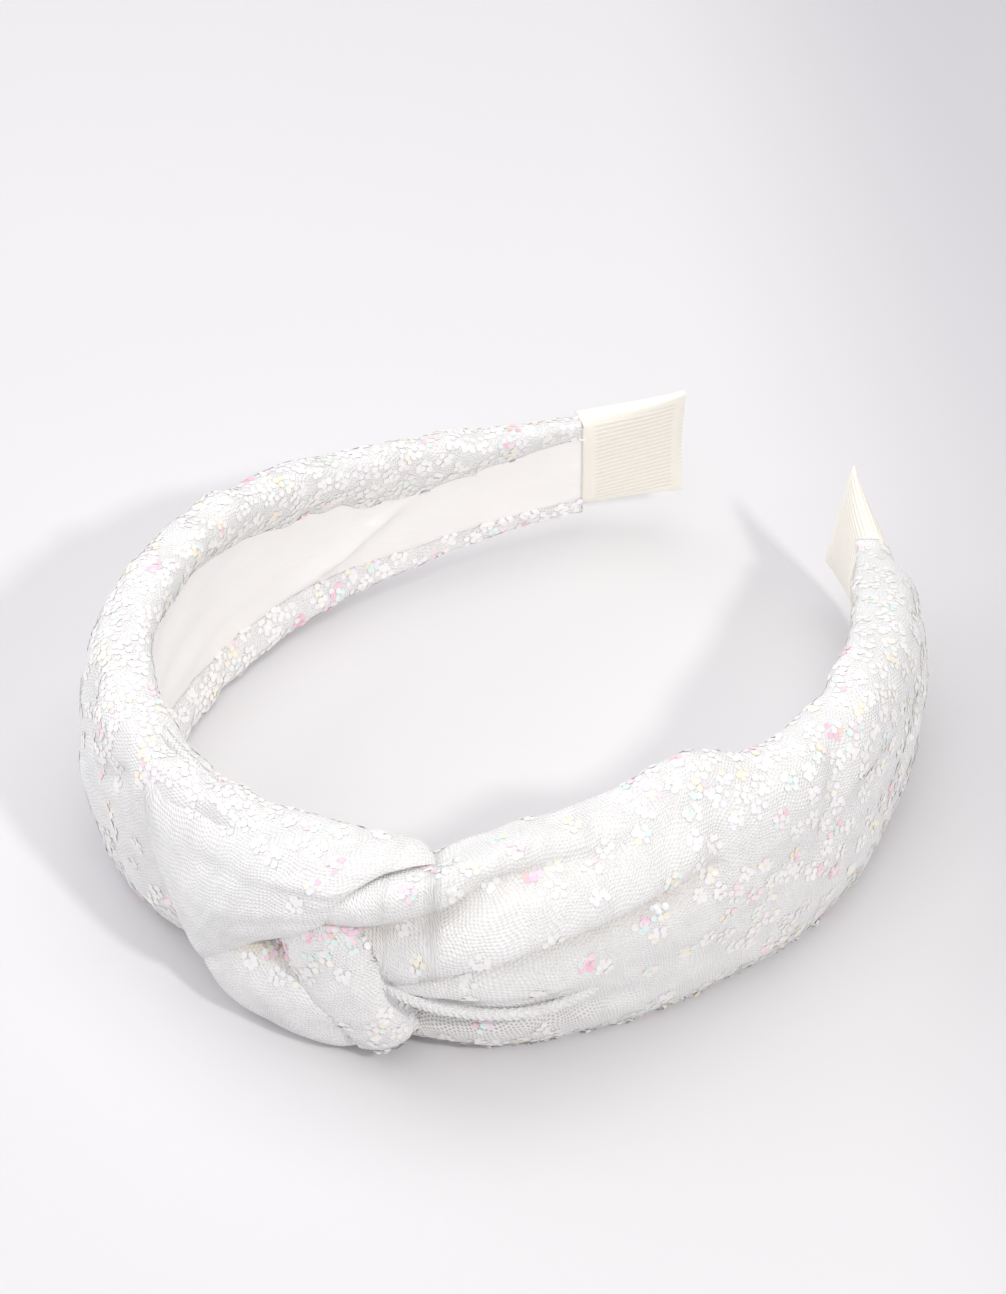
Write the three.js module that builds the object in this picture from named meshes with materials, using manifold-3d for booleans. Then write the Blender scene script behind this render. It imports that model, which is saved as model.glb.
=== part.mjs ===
// Alice band with a twisted knot, lying on its side edge as in the photograph; millimetres, +Z up.
// The ring is drawn as one inner line, and every cloth piece is placed from it by three numbers:
// d along the line from the knot's centre (left arm negative), n out of the ring, z above the floor.
import * as THREE from "three";
import Module from "manifold-3d";

const wasm = await Module();
wasm.setup();

// Driving dimensions
const RING_HALF_WIDTH = 56; // half the inner width
const RING_DEPTH = 138.5; // inner depth, ends to front
const END_HALF_SPACING = 18; // half the gap between the two ends
const KNOT_OFFSET = 12; // the knot's centre sits this far to the right arm's side
const BAND_HEIGHT = 43; // padded cover at its widest
const RIBBON_WIDTH = 24; // grosgrain end, measured across the band
const RIBBON_LENGTH = 20;
const RIBBON_THICK = 7.5; // end cap at its joint
const RIBBON_PINCH = 1.6; // end cap at its flattened end
const RIBBON_NECK = 0.86; // its width at the joint, as a share of RIBBON_WIDTH
const RIBBON_DROP = 3.2; // how much lower its middle lies at the joint
const RIBBON_TWIST = 10; // degrees the right end leans into the ring
const PADDING_THICK = 13; // cover outside the lining at its fullest
const PUFF = 0.55; // 1 rounds the padding's outside fully, less squares it
const LINING_THICK = 1.6;
const LINING_INSET = 2.4; // the lining's edge stops this far inside the cover's
const FOLD_HEIGHT = 0.7; // rise of the soft fold along the left arm's lining
const FOLD_HALF_WIDTH = 3; // half width of that fold
const FOLD_FROM = 0.71; // share of the left arm at which it crosses the band's middle
const FOLD_SLOPE = 0.6; // its rise across the band for each step along it
const LIP_HEIGHT = 8.5; // cover turned over the lining, past the lining's edge
const LIP_DEPTH = 2.6; // how far a lip at least LIP_FULL of LIP_HEIGHT high stands into the ring
const LIP_FULL = 0.6;
const KNOT_REACH = 40; // how far the knot's folds run each way
const KNOT_THICK = 17; // outside of the knot, measured from the inner line
const GATHER_HEIGHT = 1.2; // waviness of the gathered top edge
const GATHER_LENGTH = 20; // length of its longest wave
const GATHER_SHARE = 0.14; // waviness of a lip's free edge, as a share of the lip
const CREASE_MOST = 0.45; // a crease goes no deeper than this share of the padding
const CREASE_FADE = 0.75; // share of its depth that a crease loses along its length
const GAP = 0.3; // left between touching pieces
const CUT_CLEARANCE = 0.5; // a knot piece is swollen by this where it cuts what lies under it
const FLOOR_DEPTH = 0.7; // depth of cloth pressed flat where the band lies
const MID = BAND_HEIGHT / 2 - FLOOR_DEPTH; // height of the band's middle line
const STATION_SPACING = 6; // spacing of the cover's cross-sections
const FACET_TOLERANCE = 0.05; // facets flatter than this are joined

// The inner line between the two ends, as shares of RING_HALF_WIDTH and of RING_DEPTH: across, back
const INNER_LINE = [
  [-0.554, 0.108], [-0.75, 0.224], [-0.902, 0.339], [-1.018, 0.458], [-1.071, 0.578],
  [-1.054, 0.704], [-0.964, 0.83], [-0.75, 0.937], [-0.42, 0.992], [-0.07, 1],
  [0.25, 0.98], [0.518, 0.912], [0.712, 0.812], [0.866, 0.704], [0.982, 0.585],
  [1.009, 0.451], [0.92, 0.325], [0.768, 0.213], [0.562, 0.105],
];

// Padded cover along each arm, against the distance from the arm's end as a share of the arm:
// far, drop of its middle in BAND_HEIGHT, height in BAND_HEIGHT, padding in PADDING_THICK,
// upper and lower lip in LIP_HEIGHT
const LEFT_COVER = [
  [0.1, 0.08, 0.5, 0.32, 0.1, 0.08], [0.17, 0.075, 0.57, 0.36, 0.5, 0.12], [0.28, 0.055, 0.7, 0.4, 1.05, 0.3],
  [0.4, 0.025, 0.85, 0.56, 0.95, 0.55], [0.52, 0, 0.97, 0.7, 0.8, 0.7], [0.7, 0, 1, 0.8, 0.8, 0.75],
  [0.82, 0, 0.95, 0.8, 0.8, 0.75], [0.92, 0, 0.88, 0.62, 0.6, 0.7], [1, 0, 0.84, 0.6, 0.5, 0.7],
];
const RIGHT_COVER = [
  [0.12, 0.06, 0.52, 0.5, 0.1, 0.08], [0.18, 0.04, 0.66, 0.74, 0.5, 0.3], [0.28, 0.01, 0.86, 0.82, 0.8, 0.6],
  [0.4, 0, 1, 0.78, 0.8, 0.7], [0.52, 0, 1, 0.82, 0.8, 0.75], [0.64, 0, 1, 0.98, 0.8, 0.75],
  [0.76, 0, 1, 1.15, 0.8, 0.75], [0.86, 0, 0.98, 1.14, 0.7, 0.7], [0.94, 0, 0.92, 0.94, 0.6, 0.7],
  [1, 0, 0.84, 0.6, 0.5, 0.7],
];

// Creases pressed into the covers, with d in KNOT_REACH and z in BAND_HEIGHT:
// d from, z from, d to, z to, depth in PADDING_THICK, half width in BAND_HEIGHT
const CREASES = [
  [0.35, 0.82, 1.5, 0.9, 0.3, 0.05], [0.25, 0.56, 1.6, 0.74, 0.34, 0.05], [0.2, 0.3, 1.65, 0.36, 0.3, 0.05],
  [-2.8, 1, -2.6, 0.55, 0.22, 0.07], [-1.5, 0.9, -1.2, 0.2, 0.16, 0.08],
  [2.1, 1, 1.85, 0.6, 0.2, 0.08], [-3.75, 0.5, -3, 0.62, 0.12, 0.07],
];

// Knot pieces: path rows of share along, d in KNOT_REACH, z in BAND_HEIGHT, n in KNOT_THICK,
// width in BAND_HEIGHT, thickness in KNOT_THICK, bow in KNOT_THICK
const STRAP = [
  [0, -0.14, 0.72, 0.78, 0.24, 0.12, 0], [0.15, -0.09, 0.62, 0.88, 0.36, 0.14, 0.04],
  [0.5, 0.04, 0.42, 0.95, 0.36, 0.14, 0.06], [0.85, 0.14, 0.24, 0.92, 0.32, 0.13, 0.06],
  [1, 0.17, 0.17, 0.88, 0.26, 0.1, 0.05],
];
const LEFT_LOBE = [
  [0, -0.98, 0.46, 0.4, 0.54, 0.34, 0.16], [0.12, -0.86, 0.46, 0.52, 0.74, 0.66, 0.16],
  [0.35, -0.58, 0.5, 0.56, 0.8, 0.84, 0.16], [0.6, -0.27, 0.68, 0.56, 0.54, 0.76, 0.12],
  [0.82, 0.02, 0.84, 0.54, 0.3, 0.54, 0.06], [1, 0.3, 0.93, 0.4, 0.08, 0.2, 0],
];
const UNDER_LOOP = [
  [0, -0.62, 0.17, 0.5, 0.12, 0.3, 0], [0.2, -0.5, 0.2, 0.62, 0.36, 0.5, 0.08],
  [0.55, -0.24, 0.22, 0.66, 0.46, 0.56, 0.1], [0.85, 0.0, 0.2, 0.64, 0.4, 0.5, 0.08],
  [1, 0.14, 0.18, 0.5, 0.24, 0.25, 0],
];
const UPPER_FOLD = [
  [0, 0.0, 0.7, 0.6, 0.1, 0.3, 0], [0.16, 0.16, 0.8, 0.58, 0.22, 0.5, 0.05],
  [0.4, 0.42, 0.9, 0.46, 0.24, 0.52, 0.05], [0.75, 0.85, 0.95, 0.34, 0.2, 0.4, 0.05],
  [1, 1.25, 0.96, 0.26, 0.08, 0.2, 0],
];
const ROLLED_PLEAT = [
  [0, 0.11, 0.5, 0.72, 0.1, 0.2, 0], [0.14, 0.2, 0.58, 0.78, 0.2, 0.36, 0],
  [0.4, 0.44, 0.72, 0.76, 0.23, 0.42, 0.02], [0.75, 0.85, 0.8, 0.7, 0.22, 0.3, 0.04],
  [1, 1.3, 0.82, 0.64, 0.06, 0.12, 0],
];
const MIDDLE_PLEAT = [
  [0, 0.14, 0.42, 0.68, 0.06, 0.16, 0], [0.18, 0.3, 0.47, 0.8, 0.14, 0.32, 0],
  [0.5, 0.66, 0.53, 0.84, 0.19, 0.32, 0.03], [0.8, 1.0, 0.58, 0.8, 0.16, 0.22, 0.04],
  [1, 1.3, 0.62, 0.74, 0.05, 0.1, 0],
];
const THIN_ROLL = [
  [0, 0.14, 0.4, 0.74, 0.04, 0.14, 0], [0.12, 0.26, 0.39, 0.86, 0.075, 0.2, 0],
  [0.5, 0.7, 0.37, 0.88, 0.08, 0.2, 0], [0.85, 1.1, 0.4, 0.84, 0.07, 0.16, 0],
  [1, 1.4, 0.45, 0.78, 0.03, 0.08, 0],
];

// Colours of the three cloths
const SEQUINNED = { color: 0xf6f5f3, roughness: 0.45, metalness: 0 };
const SATIN = { color: 0xf4f2ee, roughness: 0.35, metalness: 0 };
const GROSGRAIN = { color: 0xf6f1de, roughness: 0.8, metalness: 0 };

const innerLine = new THREE.CatmullRomCurve3(
  [[-END_HALF_SPACING / RING_HALF_WIDTH, 0], ...INNER_LINE, [END_HALF_SPACING / RING_HALF_WIDTH, 0]].map(
    ([across, back]) => new THREE.Vector3(across * RING_HALF_WIDTH, -back * RING_DEPTH, 0),
  ),
);
innerLine.arcLengthDivisions = 600;
const LINE_LENGTH = innerLine.getLength();

// Arc length from the left end to the knot's centre
const KNOT_AT = (() => {
  let [best, bestMiss] = [0, Infinity];
  for (let s = LINE_LENGTH / 3; s < LINE_LENGTH * 0.75; s += GAP) {
    const miss = Math.abs(innerLine.getPointAt(s / LINE_LENGTH).x - KNOT_OFFSET);
    if (miss < bestMiss) [best, bestMiss] = [s, miss];
  }
  return best;
})();
const LEFT_END = -KNOT_AT; // d at the left end
const RIGHT_END = LINE_LENGTH - KNOT_AT; // d at the right end

// World place of (d, n, z)
function place(d, n, z) {
  const u = THREE.MathUtils.clamp((d + KNOT_AT) / LINE_LENGTH, 0, 1);
  const on = innerLine.getPointAt(u);
  const along = innerLine.getTangentAt(u);
  return new THREE.Vector3(on.x + along.y * n, on.y - along.x * n, z);
}

// Smooth values at x from rows whose first column rises: [x, a, b, ...] gives [a, b, ...]
function tabled(rows, x) {
  const last = rows.length - 1;
  if (x <= rows[0][0]) return rows[0].slice(1);
  if (x >= rows[last][0]) return rows[last].slice(1);
  const i = rows.findIndex((row) => row[0] > x) - 1;
  const [a, b] = [rows[i], rows[i + 1]];
  const w = b[0] - a[0];
  const t = (x - a[0]) / w;
  const h = t * t * (3 - 2 * t);
  const slope = (j, k) => {
    const [lo, hi] = [rows[Math.max(j - 1, 0)], rows[Math.min(j + 1, last)]];
    return (hi[k] - lo[k]) / (hi[0] - lo[0]);
  };
  return a.slice(1).map((from, c) => {
    const k = c + 1;
    const turn = (1 - t) * slope(i, k) - t * slope(i + 1, k);
    return from * (1 - h) + b[k] * h + w * t * (1 - t) * turn;
  });
}

// A closed solid through rings of equally many points; each ring's flat outline caps the ends
function loft(rings, firstOutline, lastOutline) {
  const per = rings[0].length;
  const points = rings.flat();
  const faces = [];
  for (let k = 0; k + 1 < rings.length; k++)
    for (let j = 0; j < per; j++) {
      const [a, b] = [k * per + j, k * per + ((j + 1) % per)];
      faces.push([a, b, b + per], [a, b + per, a + per]);
    }
  const cap = (outline) => THREE.ShapeUtils.triangulateShape(outline, []);
  const end = (rings.length - 1) * per;
  const ccw = THREE.ShapeUtils.area(firstOutline) > 0 ? 1 : -1;
  for (const [i, j, k] of cap(firstOutline)) faces.push(turned([i, k, j], ccw));
  for (const [i, j, k] of cap(lastOutline)) faces.push(turned([end + i, end + j, end + k], ccw));
  return closed(points, faces);
}

// A face as it is, or turned round
function turned([i, j, k], way) {
  return way > 0 ? [i, j, k] : [i, k, j];
}

// The solid of points and faces, turned to face out
function closed(points, faces) {
  const vertProperties = new Float32Array(points.flatMap((p) => [p.x, p.y, p.z]));
  const made = (list) =>
    new wasm.Manifold(new wasm.Mesh({ numProp: 3, vertProperties, triVerts: new Uint32Array(list.flat()) }));
  const solid = made(faces);
  return solid.volume() > 0 ? solid : made(faces.map(([i, j, k]) => [i, k, j]));
}

// How deep the creases press at (d, z), in mm
function creaseAt(d, z) {
  let depth = 0;
  for (const [fromD, fromZ, toD, toZ, deep, half] of CREASES) {
    const [d0, z0] = [fromD * KNOT_REACH, fromZ * BAND_HEIGHT];
    const [dx, dz] = [toD * KNOT_REACH - d0, toZ * BAND_HEIGHT - z0];
    const held = THREE.MathUtils.clamp(((d - d0) * dx + (z - z0) * dz) / (dx * dx + dz * dz), 0, 1);
    const off = Math.hypot(d - d0 - held * dx, z - z0 - held * dz);
    const fade = 1 - CREASE_FADE * held;
    depth += deep * PADDING_THICK * fade * Math.exp(-((off / (half * BAND_HEIGHT)) ** 2));
  }
  return depth;
}

// Uneven edge of gathered cloth: three waves of unlike lengths, within about 1 either way;
// side tells the edges apart
function unevenAt(d, side) {
  const turn = (2 * Math.PI * d) / GATHER_LENGTH;
  return 0.45 * Math.sin(turn + side) + 0.3 * Math.sin(2.4 * turn + 2.1 * side) + 0.25 * Math.sin(4.1 * turn);
}

// Middle, half height, padding and lips of the cover at d
function coverAt(d) {
  const [profile, far] = d < 0 ? [LEFT_COVER, 1 - d / LEFT_END] : [RIGHT_COVER, 1 - d / RIGHT_END];
  const [drop, height, padding, upper, lower] = tabled(profile, far);
  return {
    middle: MID - drop * BAND_HEIGHT,
    half: (height * BAND_HEIGHT) / 2,
    padding: padding * PADDING_THICK,
    upper: upper * LIP_HEIGHT,
    lower: lower * LIP_HEIGHT,
  };
}

// Cross-section of the padded cover at d, as (n, z): a puffed outside, and a lip over each edge
// of the lining, which stands in the slot between them; grow swells its outside
function coverOutline(d, grow = 0) {
  const { middle, half, padding, upper, lower } = coverAt(d);
  const outline = [];
  const ARC = 13;
  for (let k = 0; k < ARC; k++) {
    const angle = Math.PI * (k / (ARC - 1) - 0.5);
    const gathered = Math.sin(angle) > 0.9 ? GATHER_HEIGHT * unevenAt(d, 1) : 0;
    const z = middle + (half + grow) * Math.sin(angle) + gathered;
    const out = (padding + grow) * Math.cos(angle) ** PUFF;
    const pressed = Math.min(creaseAt(d, z), CREASE_MOST * padding) * Math.cos(angle) ** 0.5;
    outline.push([LINING_THICK / 2 + out - pressed, z]);
  }
  const bulgeOf = (lip) => Math.max(2 * GAP, LIP_DEPTH * Math.min(1, lip / (LIP_FULL * LIP_HEIGHT)));
  const [bulge, lowBulge] = [bulgeOf(upper), bulgeOf(lower)];
  const edge = half - LINING_INSET + GAP;
  const [top, low] = [middle + half, middle - half];
  const hang = upper * (1 + GATHER_SHARE * unevenAt(d, 3));
  const stand = lower * (1 + GATHER_SHARE * unevenAt(d, 5));
  outline.push([-0.7 * bulge, top - 0.08 * hang], [-bulge, top - 0.45 * hang]);
  outline.push([-0.8 * bulge, top - 0.85 * hang], [-GAP, top - hang - LINING_INSET]);
  outline.push([-GAP, middle + edge], [LINING_THICK + GAP, middle + edge]);
  outline.push([LINING_THICK + GAP, middle - edge], [-GAP, middle - edge]);
  outline.push([-GAP, low + stand + LINING_INSET], [-0.8 * lowBulge, low + 0.85 * stand]);
  outline.push([-lowBulge, low + 0.45 * stand], [-0.7 * lowBulge, low + 0.08 * stand]);
  return outline;
}

// Even stations from a to b no further apart than STATION_SPACING
function stations(a, b) {
  const count = Math.ceil(Math.abs(b - a) / STATION_SPACING);
  return Array.from({ length: count + 1 }, (_, k) => a + ((b - a) * k) / count);
}

// Sections given as (n, z) outlines, lofted along the band
function along(places, outlineAt, tiltAt = () => 0) {
  const outlines = places.map(outlineAt);
  const rings = outlines.map((outline, k) => {
    const tilt = THREE.MathUtils.degToRad(tiltAt(places[k]));
    const [c, s] = [Math.cos(tilt), Math.sin(tilt)];
    return outline.map(([n, z]) => place(places[k], n * c + (z - MID) * s, MID + (z - MID) * c - n * s));
  });
  const flat = (outline) => outline.map(([n, z]) => new THREE.Vector2(n, z));
  return loft(rings, flat(outlines[0]), flat(outlines.at(-1)));
}

const LEFT_JOINT = LEFT_END + RIBBON_LENGTH;
const RIGHT_JOINT = RIGHT_END - RIBBON_LENGTH;

function coverBetween(a, b, grow = 0) {
  return along(stations(a, b), (d) => coverOutline(d, grow));
}

// Satin strip seen inside the ring, with the soft fold on the left arm; grow swells it all round
function liningSolid(grow = 0) {
  const outlineAt = (d) => {
    const { middle, half, upper, lower } = coverAt(d);
    const reach = half - LINING_INSET + grow;
    const outline = [];
    const ACROSS = 7;
    for (let k = 0; k <= ACROSS; k++) {
      const z = middle + reach - (2 * reach * k) / ACROSS;
      const room = half - LINING_INSET - (upper + lower) / 2 - Math.abs(z - middle + (upper - lower) / 2);
      const clear = d < -KNOT_REACH ? THREE.MathUtils.clamp(room / (2 * LINING_INSET), 0, 1) : 0;
      const fold = Math.exp(-(((z - MID - (FOLD_FROM * LEFT_END - d) * FOLD_SLOPE) / FOLD_HALF_WIDTH) ** 2));
      outline.push([-grow - clear * FOLD_HEIGHT * fold, z]);
    }
    outline.push([LINING_THICK + grow, middle - reach], [LINING_THICK + grow, middle + reach]);
    return outline;
  };
  const left = stations(LEFT_JOINT + GAP, -GAP / 2);
  const right = stations(GAP / 2, RIGHT_JOINT - GAP);
  const [first, last] = [LEFT_JOINT + GAP - grow, RIGHT_JOINT - GAP + grow];
  return along([first, ...left.slice(1), ...right.slice(0, -1), last], outlineAt);
}

// Grosgrain end cap from its joint to its pinched end
function ribbonSolid(joint, end, twist) {
  const share = (d) => (d - joint) / (end - joint);
  const outlineAt = (d) => {
    const t = share(d);
    const thick = THREE.MathUtils.lerp(RIBBON_THICK, RIBBON_PINCH, t ** 0.85);
    const half = (RIBBON_WIDTH / 2) * THREE.MathUtils.lerp(RIBBON_NECK, 1, t) * (1 + 0.03 * t ** 4);
    const middle = MID - RIBBON_DROP * (1 - t);
    const SIDES = 20;
    return Array.from({ length: SIDES }, (_, k) => {
      const angle = (2 * Math.PI * k) / SIDES;
      const [c, s] = [Math.cos(angle), Math.sin(angle)];
      const square = THREE.MathUtils.lerp(0.7, 0.2, t);
      const n = (thick / 2) * (Math.sign(c) * Math.abs(c) ** square) + thick / 2 - LINING_THICK / 2;
      return [n, middle + half * Math.sign(s) * Math.abs(s) ** square];
    });
  };
  const COUNT = 9;
  const places = Array.from({ length: COUNT }, (_, k) => joint + ((end - joint) * k) / (COUNT - 1));
  return along(places, outlineAt, (d) => twist * share(d) ** 1.5);
}

// Soft knot piece swept along its path; grow swells it all round
function knotPiece(rows, grow = 0, count = 13, sides = 14) {
  const rings = [];
  const outlines = [];
  const read = (t) => {
    const [d, z, n, width, thick, bow] = tabled(rows, t);
    return {
      d: d * KNOT_REACH, z: z * BAND_HEIGHT, n: n * KNOT_THICK,
      width: width * BAND_HEIGHT, thick: thick * KNOT_THICK, bow: bow * KNOT_THICK,
    };
  };
  for (let k = 0; k <= count; k++) {
    const t = k / count;
    const at = read(t);
    const centre = place(at.d, at.n, at.z);
    const [before, after] = [read(Math.max(t - 0.02, 0)), read(Math.min(t + 0.02, 1))];
    const heading = place(after.d, after.n, after.z).sub(place(before.d, before.n, before.z)).normalize();
    const out = place(at.d, at.n + 1, at.z).sub(centre);
    const across = new THREE.Vector3().crossVectors(out, heading).normalize();
    out.crossVectors(heading, across).normalize();
    if (k === 0) centre.addScaledVector(heading, -grow);
    if (k === count) centre.addScaledVector(heading, grow);
    const outline = Array.from({ length: sides }, (_, j) => {
      const angle = (2 * Math.PI * j) / sides;
      const x = Math.sign(Math.cos(angle)) * Math.abs(Math.cos(angle)) ** 0.85;
      const y = Math.sin(angle);
      return new THREE.Vector2(x * (at.width / 2 + grow), y * (at.thick / 2 + grow) - at.bow * x * x);
    });
    outlines.push(outline);
    rings.push(outline.map((q) => centre.clone().addScaledVector(across, q.x).addScaledVector(out, q.y)));
  }
  return loft(rings, outlines[0], outlines.at(-1));
}

// The largest body of a cut solid, trimmed flat at the floor
function trimmed(solid) {
  const above = solid.trimByPlane([0, 0, 1], 0).simplify(FACET_TOLERANCE);
  return above.decompose().sort((a, b) => b.volume() - a.volume())[0];
}

// Knot pieces from the topmost down; each gives way to those above it
const KNOT_ORDER = [
  ["left_lobe", LEFT_LOBE], ["knot_strap", STRAP], ["thin_roll", THIN_ROLL],
  ["rolled_pleat", ROLLED_PLEAT], ["upper_fold", UPPER_FOLD], ["middle_pleat", MIDDLE_PLEAT],
  ["under_loop", UNDER_LOOP],
];

const assembly = new THREE.Group();
assembly.name = "alice_band";

function addPiece(name, solid, look) {
  const mesh = solid.getMesh();
  const geometry = new THREE.BufferGeometry();
  geometry.setAttribute("position", new THREE.BufferAttribute(new Float32Array(mesh.vertProperties), 3));
  geometry.setIndex(new THREE.BufferAttribute(new Uint32Array(mesh.triVerts), 1));
  geometry.computeVertexNormals();
  const piece = new THREE.Mesh(geometry, new THREE.MeshStandardMaterial(look));
  piece.name = name;
  assembly.add(piece);
}

const leftCover = trimmed(coverBetween(LEFT_JOINT + GAP, -GAP / 2));
const rightCover = trimmed(coverBetween(GAP / 2, RIGHT_JOINT - GAP));
addPiece("left_cover", leftCover, SEQUINNED);
addPiece("right_cover", rightCover, SEQUINNED);
let taken = coverBetween(LEFT_JOINT + GAP, -GAP / 2, GAP).add(coverBetween(GAP / 2, RIGHT_JOINT - GAP, GAP));
taken = taken.add(liningSolid(GAP)).add(leftCover).add(rightCover);
for (const [name, rows] of KNOT_ORDER) {
  const piece = trimmed(knotPiece(rows).subtract(taken));
  addPiece(name, piece, SEQUINNED);
  taken = taken.add(knotPiece(rows, CUT_CLEARANCE)).add(piece);
}
addPiece("lining", liningSolid(), SATIN);
addPiece("left_ribbon_end", ribbonSolid(LEFT_JOINT, LEFT_END, 0), GROSGRAIN);
addPiece("right_ribbon_end", ribbonSolid(RIGHT_JOINT, RIGHT_END, RIBBON_TWIST), GROSGRAIN);

// The origin is on the floor under the middle of the band's outline
const middle = new THREE.Box3().setFromObject(assembly).getCenter(new THREE.Vector3());
for (const piece of assembly.children) piece.geometry.translate(-middle.x, -middle.y, 0);

export default assembly;
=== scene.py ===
import math

import bpy
import numpy as np
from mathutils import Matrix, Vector


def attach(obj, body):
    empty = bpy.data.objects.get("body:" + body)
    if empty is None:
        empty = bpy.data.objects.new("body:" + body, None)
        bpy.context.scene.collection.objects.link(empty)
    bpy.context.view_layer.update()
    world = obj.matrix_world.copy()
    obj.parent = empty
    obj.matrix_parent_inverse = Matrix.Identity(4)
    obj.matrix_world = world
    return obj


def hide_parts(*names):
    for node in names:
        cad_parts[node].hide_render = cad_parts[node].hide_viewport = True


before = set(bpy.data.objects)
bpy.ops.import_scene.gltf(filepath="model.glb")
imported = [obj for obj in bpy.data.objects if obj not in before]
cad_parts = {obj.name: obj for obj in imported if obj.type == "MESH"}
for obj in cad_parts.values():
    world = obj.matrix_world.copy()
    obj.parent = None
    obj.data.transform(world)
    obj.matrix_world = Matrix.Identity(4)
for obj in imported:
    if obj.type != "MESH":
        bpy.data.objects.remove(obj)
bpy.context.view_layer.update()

# The table top: a plain pale card sweep that the band lies on, with painted shade that darkens it towards its
# right edge. A soft lamp stands high on the right, weaker ones in front and overhead, and a big window on the
# left.
# The camera looks down from the front right.
MM = 0.001
CAMERA_AZIMUTH, CAMERA_ELEVATION = math.radians(37), math.radians(42.5)
CAMERA_AIM = Vector((-23.14, 27.07, 0)) * MM
CAMERA_AWAY = 849.1 * MM
LENS = 125.19  # mm, on 36 mm of sensor height
CARD_COLOUR, CARD_MOTTLE, CARD_SHADED_RIGHT = "#E8E7E9", "#E6E5E7", "#D0CFD3"
RIGHTWARD = (0.72, 0.7, 0)
DARKER_FROM, DARKER_TO = 0.045, 0.13  # metres to the right of the band's middle
ROOM_COLOUR, ROOM_LIGHT = "#FBFAFC", 0.47


def linear(colour):
    """sRGB hex colour as linear RGBA"""
    parts = [int(colour[i : i + 2], 16) / 255 for i in (1, 3, 5)]
    return [p / 12.92 if p < 0.04045 else ((p + 0.055) / 1.055) ** 2.4 for p in parts] + [1]


def node(tree, kind, inputs=(), **settings):
    """Adds a node with its settings; an input is a value or the output that feeds it"""
    made = tree.nodes.new(kind)
    for name, value in settings.items():
        setattr(made, name, value)
    for key, value in dict(inputs).items():
        if isinstance(value, bpy.types.NodeSocket):
            tree.links.new(value, made.inputs[key])
        else:
            made.inputs[key].default_value = value
    return made


def surface(name, **constants):
    """A new material and its principled shader, with constant values on the shader's own sockets"""
    material = bpy.data.materials.new(name)
    material.use_nodes = True
    tree = material.node_tree
    shader = tree.nodes["Principled BSDF"]
    for key, value in constants.items():
        shader.inputs[key.replace("_", " ")].default_value = value
    return material, tree, shader


scene = bpy.context.scene
scene.view_settings.view_transform = "Standard"
scene.view_settings.look = "None"
scene.view_settings.exposure = 0
scene.view_settings.gamma = 1

card = bpy.data.meshes.new("card")
CARD_HALF = 3
card.from_pydata([(x * CARD_HALF, y * CARD_HALF, 0) for x, y in ((-1, -1), (1, -1), (1, 1), (-1, 1))],
                 [], [(0, 1, 2, 3)])
floor = bpy.data.objects.new("card", card)
scene.collection.objects.link(floor)
# Matt coated card: nearly white, no gloss, the faintest mottling
card_paper, tree, shader = surface("matt_card", Roughness=0.9)
on_card = node(tree, "ShaderNodeTexCoord").outputs["Object"]
mottle = node(tree, "ShaderNodeTexNoise", {"Scale": 9, "Detail": 2, "Vector": on_card})
tone = node(tree, "ShaderNodeValToRGB", {"Fac": mottle.outputs["Fac"]})
tone.color_ramp.elements[0].color = linear(CARD_MOTTLE)
tone.color_ramp.elements[1].color = linear(CARD_COLOUR)
# painted shade: the card's colour darkens towards the right, standing in for light that falls off there
rightward = node(tree, "ShaderNodeVectorMath", {0: on_card, 1: RIGHTWARD}, operation="DOT_PRODUCT")
far = node(tree, "ShaderNodeMapRange", {0: rightward.outputs["Value"], 1: DARKER_FROM, 2: DARKER_TO},
           interpolation_type="SMOOTHSTEP")
shaded = node(tree, "ShaderNodeMix", {0: far.outputs[0], 6: tone.outputs["Color"], 7: linear(CARD_SHADED_RIGHT)},
              data_type="RGBA")
tree.links.new(shaded.outputs[2], shader.inputs["Base Color"])
card.materials.append(card_paper)

room = bpy.data.worlds.new("room")
scene.world = room
room.use_nodes = True
room.node_tree.nodes["Background"].inputs["Color"].default_value = linear(ROOM_COLOUR)
room.node_tree.nodes["Background"].inputs["Strength"].default_value = ROOM_LIGHT


def lamp(name, size, power, at, towards, colour):
    """A square soft lamp that faces a point; places in metres"""
    data = bpy.data.lights.new(name, "AREA")
    data.shape, data.size, data.energy, data.color = "SQUARE", size, power, linear(colour)[:3]
    made = bpy.data.objects.new(name, data)
    scene.collection.objects.link(made)
    made.location = at
    made.rotation_euler = (Vector(towards) - Vector(at)).to_track_quat("-Z", "Y").to_euler()
    return made


lamp("softbox", 0.1, 5.2, (0.93, -0.22, 0.9), (0, 0.02, 0), "#FFFCF8")
lamp("front", 0.6, 0.95, (0.05, -0.5, 0.7), (0, 0, 0), "#FFFEFC")
lamp("overhead", 0.4, 0.95, (-0.02, 0.12, 0.55), (0, 0.02, 0), "#FFFEFC")
lamp("window", 1.2, 5.1, (-0.85, -0.2, 0.45), (0, -0.03, 0.01), "#FCFCFF")

eye = bpy.data.cameras.new("camera")
eye.lens, eye.sensor_height, eye.sensor_width = LENS, 36, 36
eye.sensor_fit = "VERTICAL"
eye.clip_start, eye.clip_end = 0.05, 20
camera = bpy.data.objects.new("camera", eye)
scene.collection.objects.link(camera)
back = Vector((math.sin(CAMERA_AZIMUTH) * math.cos(CAMERA_ELEVATION),
               -math.cos(CAMERA_AZIMUTH) * math.cos(CAMERA_ELEVATION), math.sin(CAMERA_ELEVATION)))
camera.location = CAMERA_AIM + back * CAMERA_AWAY
camera.rotation_euler = back.to_track_quat("Z", "Y").to_euler()
scene.camera = camera

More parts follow.
